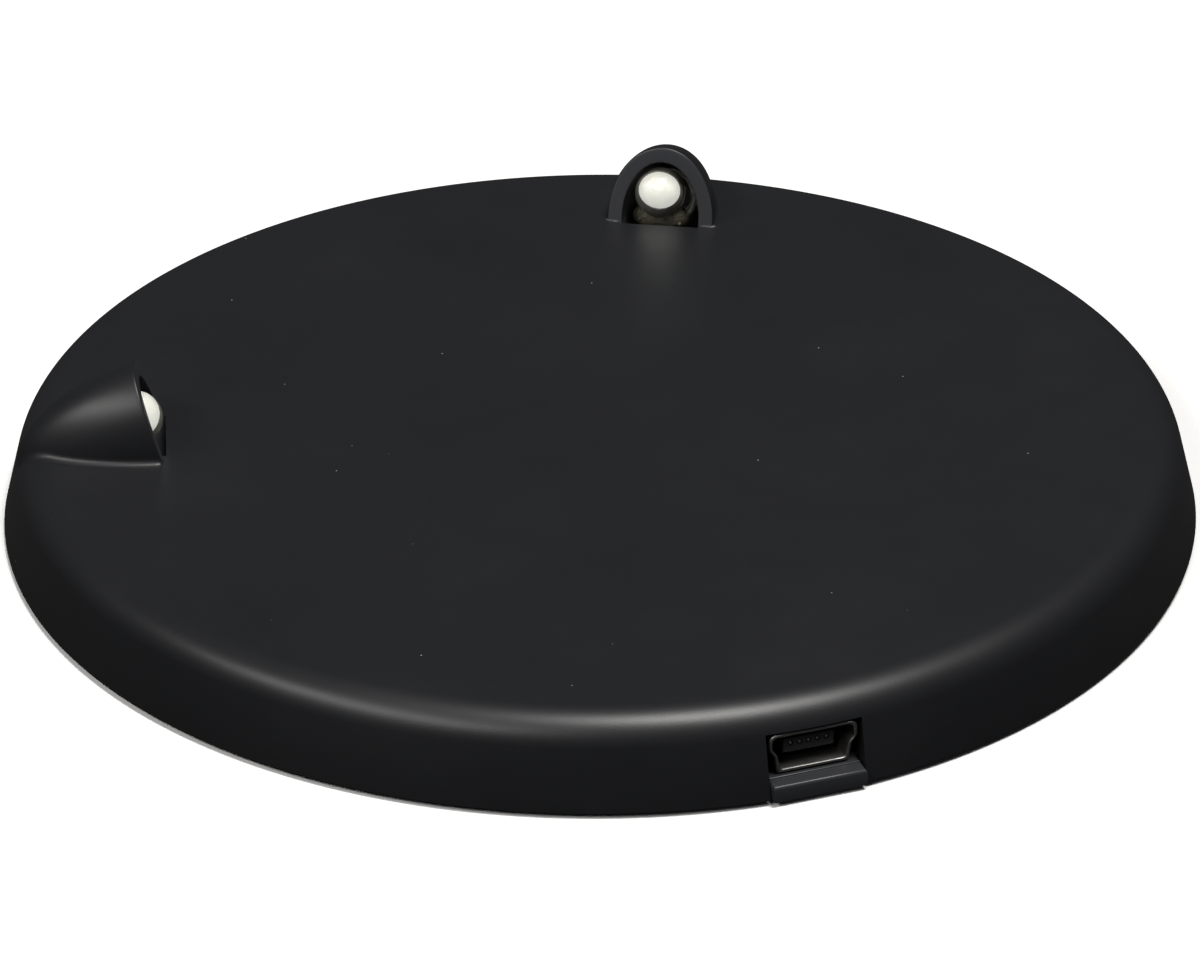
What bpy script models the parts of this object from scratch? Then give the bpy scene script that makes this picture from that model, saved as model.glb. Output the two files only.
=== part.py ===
"""Round charging pad with two hooded lamps, as the separate pieces it is put together from.

Metres, +Z up. The pad stands on its feet at z = 0, its axis is the Z axis, and its
mini USB socket faces -Y. Angles round the pad are in degrees from +X.
"""
import math

import bmesh
import bpy
from mathutils import Matrix, Vector

MM = 0.001

# The pad as a whole
BODY_RADIUS = 55.0 * MM        # round the bottom edge of the rim
BODY_HEIGHT = 7.9 * MM         # bottom edge of the rim to the flat top
SKIRT_DRAFT = math.radians(14.7)
RIM_FILLET = 3.3 * MM
FOOT_STAND = 0.5 * MM          # the feet hold the rim this far off the table

# Walls and clearances
TOP_WALL = 1.3 * MM
SKIRT_WALL = 1.8 * MM
INNER_FILLET = 1.6 * MM
BASE_THICKNESS = 1.5 * MM
SEAT_GAP = 0.25 * MM           # between pieces that rest on each other
SOLDER_GAP = 0.15 * MM         # between a soldered piece and the board, or the socket and its sill
SIDE_CLEARANCE = 0.3 * MM      # round pieces that drop into another

# Lamp hoods, moulded with the top
LAMP_ANGLES = {"left": 166.0, "back": 62.0}
HOOD_SETBACK = 14.85 * MM      # bottom edge of the rim to the foot of a hood's mouth
MOUTH_LEAN = math.radians(16.6)
HOOD_CENTRE_OUT = 0.25 * MM    # centre of the cowl, outwards of the mouth's foot
HOOD_CENTRE_UP = 0.5 * MM      # and above the flat top
HOOD_LENGTH = 13.4 * MM        # half axes of the cowl
HOOD_DIP = math.radians(15.2)  # the cowl's long axis sinks outwards
HOOD_WALL = 1.5 * MM
WELL_LIP = 0.35 * MM           # the well starts this far in front of the mouth
LENS_SIDE_ROOM = 0.95 * MM     # between a lamp's flange and the widest of the cowl's inside
LENS_HEAD_ROOM = 0.25 * MM     # over the lamp

# Lamps: 5 mm bodies that look up and inwards
LENS_RADIUS = 2.5 * MM
LENS_FLANGE_STEP = 0.35 * MM    # the flange stands this far out of the body
LENS_FLANGE_HEIGHT = 1.0 * MM
LENS_LENGTH = 8.0 * MM
LENS_TILT = math.radians(31.0)
LENS_DOME_OUT = 2.3 * MM       # centre of the dome, outwards of the mouth's foot
LENS_DOME_UP = {"left": 2.0 * MM, "back": 2.4 * MM}   # and above the flat top: set by hand
LENS_YAW = {"left": 0.0, "back": math.radians(-4.0)}
LENS_BORE_RADIUS = 1.75 * MM
LENS_BORE_DEPTH = 4.4 * MM
LEAD_WIDTH = 0.5 * MM
LEAD_SPACING = 1.9 * MM
FLAG_THICKNESS = 0.36 * MM     # flat head of the anode, inside the lens
LEAD_LENGTH = 1.0 * MM         # below the flange, before the lead bends down
LEAD_DROP = 1.6 * MM
GLUE_HALF_WIDTH = 2.4 * MM
GLUE_LENGTH = 3.2 * MM
GLUE_DEPTH = 1.3 * MM

# Case screws
SCREW_ANGLES = (-35.0, 20.0, 114.0, 215.0)
SCREW_INSET = 9.0 * MM         # bottom edge of the rim to a screw's axis
BOSS_WALL = 1.2 * MM
BOSS_ROOF = 0.3 * MM           # solid left between a boss hole and the inside of the top
COLLAR_WALL = 1.0 * MM
COLLAR_HEIGHT = 1.2 * MM
SCREW_RADIUS = 1.05 * MM
SCREW_CLEARANCE = 0.25 * MM
SCREW_HEAD_RADIUS = 2.0 * MM
SCREW_HEAD_HEIGHT = 1.1 * MM
SCREW_LENGTH = 4.4 * MM
SCREW_SINK = 0.15 * MM         # head below the face of the base
CROSS_LENGTH = 2.2 * MM
CROSS_WIDTH = 0.5 * MM
CROSS_DEPTH = 0.6 * MM

# Rubber feet
FOOT_ANGLES = (-50.0, 45.0, 140.0, 230.0)
FOOT_INSET = 18.0 * MM         # bottom edge of the rim to a foot's axis
FOOT_RADIUS = 4.0 * MM
FOOT_POCKET_DEPTH = 0.6 * MM
FOOT_EDGE = 0.3 * MM

# USB socket: mini B, hung under the board with its wide side up
SOCKET_WIDTH = 7.9 * MM
SOCKET_WAIST_STEP = 0.5 * MM   # each side draws in this far at the waist
SOCKET_BASE_STEP = 0.7 * MM    # and this far at the bottom
SOCKET_HEIGHT = 3.75 * MM
SOCKET_SHOULDER = 0.36         # down the side, in heights of the socket, to where it draws in
SOCKET_WAIST = 0.6             # and to where it is drawn in
SOCKET_CORNER = 0.7 * MM       # round the upper corners
SOCKET_HEEL = 0.3 * MM         # chamfer of the lower corners
SOCKET_LENGTH = 8.8 * MM
SOCKET_METAL = 0.3 * MM
SOCKET_SETBACK = 1.6 * MM      # bottom edge of the rim to the mouth of the socket
TONGUE_WIDTH = 4.6 * MM
TONGUE_THICKNESS = 1.35 * MM
TONGUE_DROP = 0.95 * MM        # from the inside of the shell down to the tongue
TONGUE_SETBACK = 1.1 * MM
PLUG_DEPTH = 5.6 * MM          # from the socket's mouth to the block that ends it
CONTACT_COUNT = 5
CONTACT_PITCH = 0.8 * MM
CONTACT_WIDTH = 0.36 * MM
CONTACT_THICKNESS = 0.2 * MM
CONTACT_CLEARANCE = 0.06 * MM
CONTACT_TAIL = 0.9 * MM
CONTACT_SINK = 0.5 * MM        # top of the tongue down to the middle of the contacts
WING_WIDTH = 0.8 * MM          # solder wings, out from each side of the socket
WING_LENGTH = 1.6 * MM
WING_PLACES = (0.55, 0.85)     # behind the mouth, in lengths of the socket
NOTCH_SIDE = 0.35 * MM         # side gap between the socket and its notch
NOTCH_ROOF = 0.2 * MM
SILL_PROUD = 0.2 * MM          # front of the sill beyond the bottom edge of the rim
SILL_CHAMFER = 0.2 * MM
SILL_GAP = 0.1 * MM            # on each side, between the sill and the notch
SILL_OVERLAP = 0.9 * MM        # the sill runs this far into the base

# Circuit board, a segment beside the coil
BOARD_THICKNESS = 0.8 * MM
BOARD_SETBACK = 4.8 * MM       # bottom edge of the rim to the board's round edge
BOARD_HALF_WIDTH = 24.0 * MM
BOARD_INNER_EDGE = 25.5 * MM   # pad axis to the straight edge
PIN_RADIUS = 0.9 * MM
PIN_REACH = 0.6 * MM           # pins of the top stick out below the board
PIN_PLACE = (20.5 * MM, 38.0 * MM)
PILLAR_RADIUS = 1.6 * MM
BOARD_PILLARS = ((-20.5 * MM, -28.5 * MM), (20.5 * MM, -28.5 * MM), (0.0, -28.5 * MM))

# Components under the board: where they sit (x, y), their size (x, y), height and legs a side
CHIPS = {
    "coil_driver": ((-11.0 * MM, -36.0 * MM), (5.0 * MM, 4.0 * MM), 1.5 * MM, 4),
    "control_chip": ((1.0 * MM, -36.0 * MM), (6.0 * MM, 5.0 * MM), 1.1 * MM, 5),
    "lamp_resistor_left": ((-15.5 * MM, -30.0 * MM), (2.0 * MM, 1.25 * MM), 0.55 * MM, 0),
    "lamp_resistor_back": ((15.5 * MM, -30.0 * MM), (2.0 * MM, 1.25 * MM), 0.55 * MM, 0),
}
CAPACITORS = {
    "tank_capacitor": ((-9.0 * MM, -44.0 * MM), (5.7 * MM, 5.0 * MM), 2.6 * MM, 0),
    "input_capacitor": ((9.0 * MM, -45.0 * MM), (3.2 * MM, 2.5 * MM), 1.8 * MM, 0),
}
LEG_WIDTH = 0.4 * MM
LEG_REACH = 0.9 * MM
CHOKE_PLACE = (13.5 * MM, -38.0 * MM)
CHOKE_SIDE = 6.0 * MM
CHOKE_HEIGHT = 2.8 * MM
CHOKE_CHEEK = 0.7 * MM
CHOKE_CORE_RADIUS = 2.5 * MM

# Charging coil, its ferrite sheet and tape
COIL_WIRE_RADIUS = 0.5 * MM
COIL_INNER_RADIUS = 10.5 * MM
COIL_PITCH = 1.3 * MM
COIL_TURNS = 8
COIL_STEPS = 24                # points in each turn
TAPE_THICKNESS = 0.3 * MM
FERRITE_THICKNESS = 0.8 * MM
FERRITE_RADIUS = 23.0 * MM
FERRITE_SLOT = 1.9 * MM
COIL_EXIT_SIDE = 3.0 * MM      # the coil's outer end leaves this far beside its inner end
FERRITE_PILLAR_CIRCLE = 15.0 * MM
FERRITE_PILLARS = 3

# Insulated wires from the board to the lamps
WIRE_RADIUS = 0.55 * MM
WIRE_SPACING = 1.6 * MM
WIRE_START = 19.0 * MM         # from the middle of the board to the first wire on each side
WIRE_RING = 31.0 * MM
WIRE_TURN_ANGLE = 6.0          # degrees before a lamp where its inner wire turns outwards
WIRE_LANE_ANGLE = 4.0          # the outer wire turns this much sooner

TURN_STEPS = 80                # facets round the case
SMALL_STEPS = 20               # facets round small pieces
SHARP = math.radians(32.0)
WELD = 0.001 * MM              # vertices nearer than this are one

# Places and sizes that follow from the sizes above
HOOD_FOOT_RADIUS = BODY_RADIUS - HOOD_SETBACK
LENS_FLANGE_RADIUS = LENS_RADIUS + LENS_FLANGE_STEP
HOOD_HALF_WIDTH = LENS_FLANGE_RADIUS + LENS_SIDE_ROOM + HOOD_WALL
HOOD_HEIGHT = LENS_RADIUS + LENS_FLANGE_RADIUS + LENS_HEAD_ROOM + HOOD_WALL
SCREW_CIRCLE = BODY_RADIUS - SCREW_INSET
BOSS_HOLE_RADIUS = SCREW_RADIUS + SCREW_CLEARANCE
BOSS_RADIUS = BOSS_HOLE_RADIUS + BOSS_WALL
COLLAR_RADIUS = SCREW_HEAD_RADIUS + SIDE_CLEARANCE + COLLAR_WALL
FOOT_CIRCLE = BODY_RADIUS - FOOT_INSET
SOCKET_FACE = BODY_RADIUS - SOCKET_SETBACK
SOCKET_WAIST_WIDTH = SOCKET_WIDTH - 2 * SOCKET_WAIST_STEP
SOCKET_BASE_WIDTH = SOCKET_WIDTH - 2 * SOCKET_BASE_STEP
BOARD_RADIUS = BODY_RADIUS - BOARD_SETBACK

# Heights that follow from the sizes above
RIM_Z = FOOT_STAND
TOP_Z = RIM_Z + BODY_HEIGHT
CEILING_Z = TOP_Z - TOP_WALL
FLOOR_Z = RIM_Z + BASE_THICKNESS
BOARD_TOP_Z = CEILING_Z - SEAT_GAP
BOARD_Z = BOARD_TOP_Z - BOARD_THICKNESS
SOCKET_TOP_Z = BOARD_Z - SOLDER_GAP
SOCKET_Z = SOCKET_TOP_Z - SOCKET_HEIGHT
SILL_Z = SOCKET_Z - SOLDER_GAP
TONGUE_TOP_Z = SOCKET_TOP_Z - SOCKET_METAL - TONGUE_DROP
COLLAR_Z = FLOOR_Z + COLLAR_HEIGHT
BOSS_Z = COLLAR_Z + SEAT_GAP
SCREW_SEAT_Z = RIM_Z + SCREW_SINK + SCREW_HEAD_HEIGHT + SEAT_GAP
TAPE_Z = CEILING_Z - SEAT_GAP - TAPE_THICKNESS
COIL_Z = TAPE_Z - SEAT_GAP - COIL_WIRE_RADIUS
FERRITE_TOP_Z = COIL_Z - COIL_WIRE_RADIUS - SEAT_GAP
FERRITE_Z = FERRITE_TOP_Z - FERRITE_THICKNESS
WIRE_Z = FLOOR_Z + SEAT_GAP + WIRE_RADIUS


def clear_scene():
    for old in list(bpy.data.objects):
        bpy.data.objects.remove(old, do_unlink=True)


def plastic(name, colour, roughness):
    return material(name, colour, roughness, 0.0)


def material(name, colour, roughness, metallic):
    made = bpy.data.materials.new(name)
    made.use_nodes = True
    shader = made.node_tree.nodes["Principled BSDF"]
    shader.inputs["Base Color"].default_value = (*colour, 1.0)
    shader.inputs["Roughness"].default_value = roughness
    shader.inputs["Metallic"].default_value = metallic
    return made


def add_object(name, mesh, finish=None):
    piece = bpy.data.objects.new(name, mesh)
    bpy.context.scene.collection.objects.link(piece)
    if finish is not None:
        mesh.materials.clear()
        mesh.materials.append(finish)
    return piece


def from_bmesh(name, bm, finish=None):
    bmesh.ops.recalc_face_normals(bm, faces=bm.faces)
    if bm.calc_volume(signed=True) < 0:
        bmesh.ops.reverse_faces(bm, faces=bm.faces)
    mesh = bpy.data.meshes.new(name)
    bm.to_mesh(mesh)
    bm.free()
    return add_object(name, mesh, finish)


def smooth(piece):
    piece.data.shade_smooth()
    piece.data.set_sharp_from_angle(angle=SHARP)
    return piece


def weld(mesh):
    bm = bmesh.new()
    bm.from_mesh(mesh)
    bmesh.ops.remove_doubles(bm, verts=bm.verts, dist=WELD)
    bmesh.ops.dissolve_degenerate(bm, edges=bm.edges, dist=WELD)
    bm.to_mesh(mesh)
    bm.free()


def bake(piece):
    """Put the evaluated mesh, with its modifiers, in place of the object's own data."""
    bpy.context.view_layer.update()
    evaluated = piece.evaluated_get(bpy.context.evaluated_depsgraph_get())
    mesh = bpy.data.meshes.new_from_object(evaluated)
    weld(mesh)
    if piece.type == "MESH":
        piece.modifiers.clear()
        piece.data = mesh
        return piece
    name, finish = piece.name, piece.data.materials[0]
    bpy.data.objects.remove(piece)
    return add_object(name, mesh, finish)


def carve(piece, tool, operation="DIFFERENCE"):
    """Cut, join or intersect a piece with a tool solid, and use the tool up."""
    step = piece.modifiers.new("carve", "BOOLEAN")
    step.operation = operation
    step.solver = "EXACT"
    step.object = tool
    bake(piece)
    bpy.data.objects.remove(tool)
    return piece


def turned(name, profile, finish=None, steps=SMALL_STEPS):
    """Spin a (radius, height) profile that starts and ends on the axis."""
    bm = bmesh.new()
    points = [bm.verts.new((radius, 0.0, height)) for radius, height in profile]
    edges = [bm.edges.new(pair) for pair in zip(points, points[1:])]
    bmesh.ops.spin(bm, geom=points + edges, cent=(0, 0, 0), axis=(0, 0, 1),
                   angle=2 * math.pi, steps=steps, use_merge=True)
    bmesh.ops.remove_doubles(bm, verts=bm.verts, dist=WELD)
    return from_bmesh(name, bm, finish)


def drum(name, radius, low, high, finish=None, steps=SMALL_STEPS, edge=0.0):
    profile = [(0, low), (radius - edge, low), (radius, low + edge),
               (radius, high), (0, high)]
    if edge == 0.0:
        profile.pop(2)
    return turned(name, profile, finish, steps)


def plate(name, outline, low, high, finish=None):
    """Extrude a flat (x, y) outline between two heights."""
    bm = bmesh.new()
    face = bm.faces.new([bm.verts.new((x, y, low)) for x, y in outline])
    raised = bmesh.ops.extrude_face_region(bm, geom=[face])["geom"]
    lifted = [item for item in raised if isinstance(item, bmesh.types.BMVert)]
    bmesh.ops.translate(bm, verts=lifted, vec=(0, 0, high - low))
    return from_bmesh(name, bm, finish)


def block(name, low, high, finish=None, edge=0.0):
    """A box between two corners, its edges chamfered by edge."""
    bm = bmesh.new()
    size = Vector(high) - Vector(low)
    middle = (Vector(high) + Vector(low)) / 2
    bmesh.ops.create_cube(bm, size=1.0, matrix=Matrix.Translation(middle) @ Matrix.Diagonal((*size, 1)))
    if edge:
        bmesh.ops.bevel(bm, geom=bm.edges, offset=edge, segments=1, affect="EDGES")
    return from_bmesh(name, bm, finish)


def tube(name, points, radius, finish, sides=2):
    """A round wire along a list of points, with closed ends."""
    path = bpy.data.curves.new(name, "CURVE")
    path.dimensions = "3D"
    path.bevel_depth = radius
    path.bevel_resolution = sides
    path.use_fill_caps = True
    spline = path.splines.new("POLY")
    spline.points.add(len(points) - 1)
    for knot, point in zip(spline.points, points):
        knot.co = (*point, 1.0)
    path.materials.append(finish)
    return bake(add_object(name, path))


def eased(points, per_span=3):
    """A smooth run of points through a hand-placed route."""
    route = [Vector(point) for point in points]
    ends = [2 * route[0] - route[1], *route, 2 * route[-1] - route[-2]]
    run = []
    for before, start, end, after in zip(ends, ends[1:], ends[2:], ends[3:]):
        for step in range(per_span):
            t = step / per_span
            run.append(0.5 * (2 * start + (end - before) * t
                              + (2 * before - 5 * start + 4 * end - after) * t ** 2
                              + (3 * start - before - 3 * end + after) * t ** 3))
    return run + [route[-1]]


def clip(bm, point, normal):
    """Cut off what lies on the normal's side of a plane and close the hole."""
    everything = bm.verts[:] + bm.edges[:] + bm.faces[:]
    bmesh.ops.bisect_plane(bm, geom=everything, plane_co=point, plane_no=normal, clear_outer=True)
    bmesh.ops.holes_fill(bm, edges=[edge for edge in bm.edges if edge.is_boundary])


def on_circle(radius, degrees, height=0.0):
    angle = math.radians(degrees)
    return Vector((radius * math.cos(angle), radius * math.sin(angle), height))


def arc(centre, radius, start, end, steps):
    """(x, y) points round a centre from one angle to another, both in degrees."""
    turns = [math.radians(start + (end - start) * step / steps) for step in range(steps + 1)]
    return [(centre[0] + radius * math.cos(a), centre[1] + radius * math.sin(a)) for a in turns]


def rim_profile(radius, low, high, fillet):
    """The sloping skirt and its rounded top edge, from the bottom up, as (radius, height)."""
    middle_z = high - fillet
    rise = middle_z - RIM_Z
    middle_r = radius - (fillet + rise * math.sin(SKIRT_DRAFT)) / math.cos(SKIRT_DRAFT)
    bottom = radius - (low - RIM_Z) * math.tan(SKIRT_DRAFT)
    return [(bottom, low)] + arc((middle_r, middle_z), fillet, math.degrees(SKIRT_DRAFT), 90, 6)


def lamp_frame(degrees):
    """X outwards along a lamp's radius, Y across it, Z up, with the pad's own origin."""
    return Matrix.Rotation(math.radians(degrees), 4, "Z")


def cowl(name, degrees, inset, cut_point, cut_normal):
    """The egg shape of a hood, smaller by inset all round and cut off flat."""
    place = (Matrix.Translation((HOOD_FOOT_RADIUS + HOOD_CENTRE_OUT, 0, TOP_Z + HOOD_CENTRE_UP))
             @ Matrix.Rotation(HOOD_DIP, 4, "Y")
             @ Matrix.Diagonal((HOOD_LENGTH - inset, HOOD_HALF_WIDTH - inset, HOOD_HEIGHT - inset, 1)))
    bm = bmesh.new()
    bmesh.ops.create_uvsphere(bm, u_segments=24, v_segments=16, radius=1.0,
                              matrix=place @ Matrix.Rotation(math.pi / 2, 4, "Y"))
    clip(bm, cut_point, cut_normal)
    bm.transform(lamp_frame(degrees))
    return from_bmesh(name, bm)


def make_top_shell(finish):
    outline = [(0, RIM_Z)] + rim_profile(BODY_RADIUS, RIM_Z, TOP_Z, RIM_FILLET) + [(0, TOP_Z)]
    shell = turned("top_shell", outline, finish, TURN_STEPS)
    foot = Vector((HOOD_FOOT_RADIUS, 0, TOP_Z))
    mouth = Vector((-math.cos(MOUTH_LEAN), 0, math.sin(MOUTH_LEAN)))
    for degrees in LAMP_ANGLES.values():
        carve(shell, cowl("hood", degrees, 0.0, foot, mouth), "UNION")
    below = RIM_Z - TOP_WALL
    hollow = rim_profile(BODY_RADIUS - SKIRT_WALL, below, CEILING_Z, INNER_FILLET)
    carve(shell, turned("hollow", [(0, below)] + hollow + [(0, CEILING_Z)], None, TURN_STEPS))
    lip = foot - Vector((WELL_LIP, 0, 0))
    for degrees in LAMP_ANGLES.values():
        carve(shell, cowl("well", degrees, HOOD_WALL, lip, Vector((-1, 0, 0))))
    for post in case_posts():
        carve(shell, post, "UNION")
    for degrees in SCREW_ANGLES:
        hole = drum("hole", BOSS_HOLE_RADIUS, BOSS_Z - TOP_WALL, CEILING_Z - BOSS_ROOF, steps=12)
        hole.location = on_circle(SCREW_CIRCLE, degrees)
        carve(shell, hole)
    half = SOCKET_WIDTH / 2 + NOTCH_SIDE
    notch = block("notch", (-half, -BODY_RADIUS - TOP_WALL, below),
                  (half, -BOARD_RADIUS, SOCKET_TOP_Z + NOTCH_ROOF))
    carve(shell, notch)
    return smooth(shell)


def case_posts():
    """Screw bosses and board pins, ready to join to the inside of the top."""
    root = CEILING_Z + TOP_WALL / 2
    posts = []
    for degrees in SCREW_ANGLES:
        boss = drum("boss", BOSS_RADIUS, BOSS_Z, root, steps=16)
        boss.location = on_circle(SCREW_CIRCLE, degrees)
        posts.append(boss)
    for side in (-1, 1):
        pin = drum("pin", PIN_RADIUS, BOARD_Z - PIN_REACH, root, steps=12)
        pin.location = (side * PIN_PLACE[0], -PIN_PLACE[1], 0)
        posts.append(pin)
    return posts


def make_base_plate(finish):
    wall = BODY_RADIUS - SKIRT_WALL - SIDE_CLEARANCE
    slope = BASE_THICKNESS * math.tan(SKIRT_DRAFT)
    profile = [(0, RIM_Z), (wall, RIM_Z), (wall - slope, FLOOR_Z), (0, FLOOR_Z)]
    base = turned("base_plate", profile, finish, TURN_STEPS)
    carve(base, make_sill(), "UNION")
    root = RIM_Z + BASE_THICKNESS / 2
    for degrees in SCREW_ANGLES:
        collar = drum("collar", COLLAR_RADIUS, root, COLLAR_Z, steps=SMALL_STEPS)
        collar.location = on_circle(SCREW_CIRCLE, degrees)
        carve(base, collar, "UNION")
    for x, y in BOARD_PILLARS:
        pillar = drum("pillar", PILLAR_RADIUS, root, BOARD_Z - SEAT_GAP, steps=12)
        pillar.location = (x, y, 0)
        carve(base, pillar, "UNION")
    for index in range(FERRITE_PILLARS):
        pillar = drum("pillar", PILLAR_RADIUS, root, FERRITE_Z - SEAT_GAP, steps=12)
        pillar.location = on_circle(FERRITE_PILLAR_CIRCLE, 90 + index * 360 / FERRITE_PILLARS)
        carve(base, pillar, "UNION")
    below = RIM_Z - BASE_THICKNESS
    for degrees in SCREW_ANGLES:
        head = drum("head", SCREW_HEAD_RADIUS + SIDE_CLEARANCE, below, SCREW_SEAT_Z, steps=SMALL_STEPS)
        head.location = on_circle(SCREW_CIRCLE, degrees)
        carve(base, head)
        hole = drum("hole", SCREW_RADIUS + SIDE_CLEARANCE, root, COLLAR_Z + BASE_THICKNESS, steps=12)
        hole.location = on_circle(SCREW_CIRCLE, degrees)
        carve(base, hole)
    for degrees in FOOT_ANGLES:
        pocket = drum("pocket", FOOT_RADIUS + SIDE_CLEARANCE, below, RIM_Z + FOOT_POCKET_DEPTH)
        pocket.location = on_circle(FOOT_CIRCLE, degrees)
        carve(base, pocket)
    return smooth(base)


def make_sill():
    """The tongue of the base that fills the bottom of the socket's notch."""
    half = SOCKET_WIDTH / 2 + NOTCH_SIDE - SILL_GAP
    front = BODY_RADIUS + SILL_PROUD
    back = BODY_RADIUS - SKIRT_WALL - SIDE_CLEARANCE - SILL_OVERLAP
    outline = [(-half, RIM_Z + SILL_CHAMFER), (-half + SILL_CHAMFER, RIM_Z), (half - SILL_CHAMFER, RIM_Z),
               (half, RIM_Z + SILL_CHAMFER), (half, SILL_Z), (-half, SILL_Z)]
    sill = plate("sill", outline, back, front)
    sill.matrix_world = Matrix.Rotation(math.pi / 2, 4, "X")
    return sill


def make_screw(number, degrees, finish):
    head_z = RIM_Z + SCREW_SINK
    seat = head_z + SCREW_HEAD_HEIGHT
    tip = seat + SCREW_LENGTH
    crown = 0.25 * SCREW_HEAD_HEIGHT
    profile = [(0, head_z), (SCREW_HEAD_RADIUS - crown, head_z), (SCREW_HEAD_RADIUS, head_z + crown),
               (SCREW_HEAD_RADIUS, seat), (SCREW_RADIUS, seat), (SCREW_RADIUS, tip - SCREW_RADIUS),
               (0, tip)]
    screw = turned("case_screw_%d" % number, profile, finish, 16)
    for size in ((CROSS_LENGTH, CROSS_WIDTH), (CROSS_WIDTH, CROSS_LENGTH)):
        slot = block("slot", (-size[0] / 2, -size[1] / 2, head_z - CROSS_DEPTH),
                     (size[0] / 2, size[1] / 2, head_z + CROSS_DEPTH))
        carve(screw, slot)
    screw.location = on_circle(SCREW_CIRCLE, degrees)
    screw.rotation_euler.z = math.radians(degrees)
    return smooth(screw)


def make_foot(number, degrees, finish):
    foot = drum("rubber_foot_%d" % number, FOOT_RADIUS, 0.0, RIM_Z + FOOT_POCKET_DEPTH - SEAT_GAP,
                finish, 24, FOOT_EDGE)
    foot.location = on_circle(FOOT_CIRCLE, degrees)
    return smooth(foot)


def make_board(finish):
    reach = math.degrees(math.asin(BOARD_HALF_WIDTH / BOARD_RADIUS))
    outline = arc((0, 0), BOARD_RADIUS, -90 - reach, -90 + reach, 16)
    outline += [(BOARD_HALF_WIDTH, -BOARD_INNER_EDGE), (-BOARD_HALF_WIDTH, -BOARD_INNER_EDGE)]
    board = plate("circuit_board", outline, BOARD_Z, BOARD_TOP_Z, finish)
    for side in (-1, 1):
        hole = drum("hole", PIN_RADIUS + SIDE_CLEARANCE, BOARD_Z - SEAT_GAP, CEILING_Z, steps=12)
        hole.location = (side * PIN_PLACE[0], -PIN_PLACE[1], 0)
        carve(board, hole)
    return board


def socket_outline(inset):
    """Mini B outline as (x, height) points: wide above, waisted sides, narrow below."""
    wide = SOCKET_WIDTH / 2 - inset
    narrow = SOCKET_WAIST_WIDTH / 2 - inset
    base = SOCKET_BASE_WIDTH / 2 - inset
    top = SOCKET_TOP_Z - inset
    bottom = SOCKET_Z + inset
    shoulder = SOCKET_TOP_Z - SOCKET_SHOULDER * SOCKET_HEIGHT
    waist = SOCKET_TOP_Z - SOCKET_WAIST * SOCKET_HEIGHT
    corner = SOCKET_CORNER - inset / 2
    right = arc((wide - corner, top - corner), corner, 90, 0, 3)
    right += [(wide, shoulder), (narrow, waist), (base, bottom + SOCKET_HEEL), (base - SOCKET_HEEL, bottom)]
    return right + [(-x, height) for x, height in reversed(right)]


def socket_sleeve(name, inset, front, back, finish=None):
    """The socket's outline drawn back from its mouth: distances are from the pad's axis."""
    sleeve = plate(name, socket_outline(inset), back, front, finish)
    sleeve.matrix_world = Matrix.Rotation(math.pi / 2, 4, "X")
    return sleeve


def make_usb_shell(finish):
    back = SOCKET_FACE - SOCKET_LENGTH
    shell = socket_sleeve("usb_shell", 0.0, SOCKET_FACE, back, finish)
    carve(shell, socket_sleeve("inside", SOCKET_METAL, SOCKET_FACE + SOCKET_METAL, back - SOCKET_METAL))
    for side in (-1, 1):
        for behind in WING_PLACES:
            middle = -SOCKET_FACE + behind * SOCKET_LENGTH
            low = side * (SOCKET_WIDTH - SOCKET_METAL) / 2
            high = side * (SOCKET_WIDTH / 2 + WING_WIDTH)
            wing = block("wing", (min(low, high), middle - WING_LENGTH / 2, SOCKET_TOP_Z - 4 * SOCKET_METAL),
                         (max(low, high), middle + WING_LENGTH / 2, SOCKET_TOP_Z - 3 * SOCKET_METAL))
            carve(shell, wing, "UNION")
    return smooth(shell)


def contact_places():
    return [(index - (CONTACT_COUNT - 1) / 2) * CONTACT_PITCH for index in range(CONTACT_COUNT)]


def contact_height():
    return TONGUE_TOP_Z - CONTACT_SINK


def make_usb_insulator(finish):
    """The moulded block that closes the back of the socket, with its tongue."""
    back = SOCKET_FACE - SOCKET_LENGTH + SOCKET_METAL
    body = socket_sleeve("usb_insulator", SOCKET_METAL + CONTACT_CLEARANCE, SOCKET_FACE - PLUG_DEPTH, back,
                         finish)
    tongue = block("tongue",
                   (-TONGUE_WIDTH / 2, -SOCKET_FACE + TONGUE_SETBACK, TONGUE_TOP_Z - TONGUE_THICKNESS),
                   (TONGUE_WIDTH / 2, -SOCKET_FACE + PLUG_DEPTH + SOCKET_METAL, TONGUE_TOP_Z))
    carve(body, tongue, "UNION")
    half = CONTACT_WIDTH / 2 + CONTACT_CLEARANCE
    rise = CONTACT_THICKNESS / 2 + CONTACT_CLEARANCE
    for x in contact_places():
        groove = block("groove", (x - half, -SOCKET_FACE, contact_height() - rise),
                       (x + half, -back + SOCKET_METAL, contact_height() + rise))
        carve(body, groove)
    return body


def make_usb_contact(number, x, finish):
    front = -SOCKET_FACE + TONGUE_SETBACK + CONTACT_THICKNESS
    rear = -SOCKET_FACE + SOCKET_LENGTH
    low = contact_height() - CONTACT_THICKNESS / 2
    high = contact_height() + CONTACT_THICKNESS / 2
    contact = block("usb_contact_%d" % number, (x - CONTACT_WIDTH / 2, front, low),
                    (x + CONTACT_WIDTH / 2, rear + CONTACT_TAIL, high), finish)
    riser = block("riser", (x - CONTACT_WIDTH / 2, rear + CONTACT_TAIL - 2 * CONTACT_THICKNESS,
                            contact_height()),
                  (x + CONTACT_WIDTH / 2, rear + CONTACT_TAIL, BOARD_Z - SOLDER_GAP))
    return carve(contact, riser, "UNION")


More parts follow.
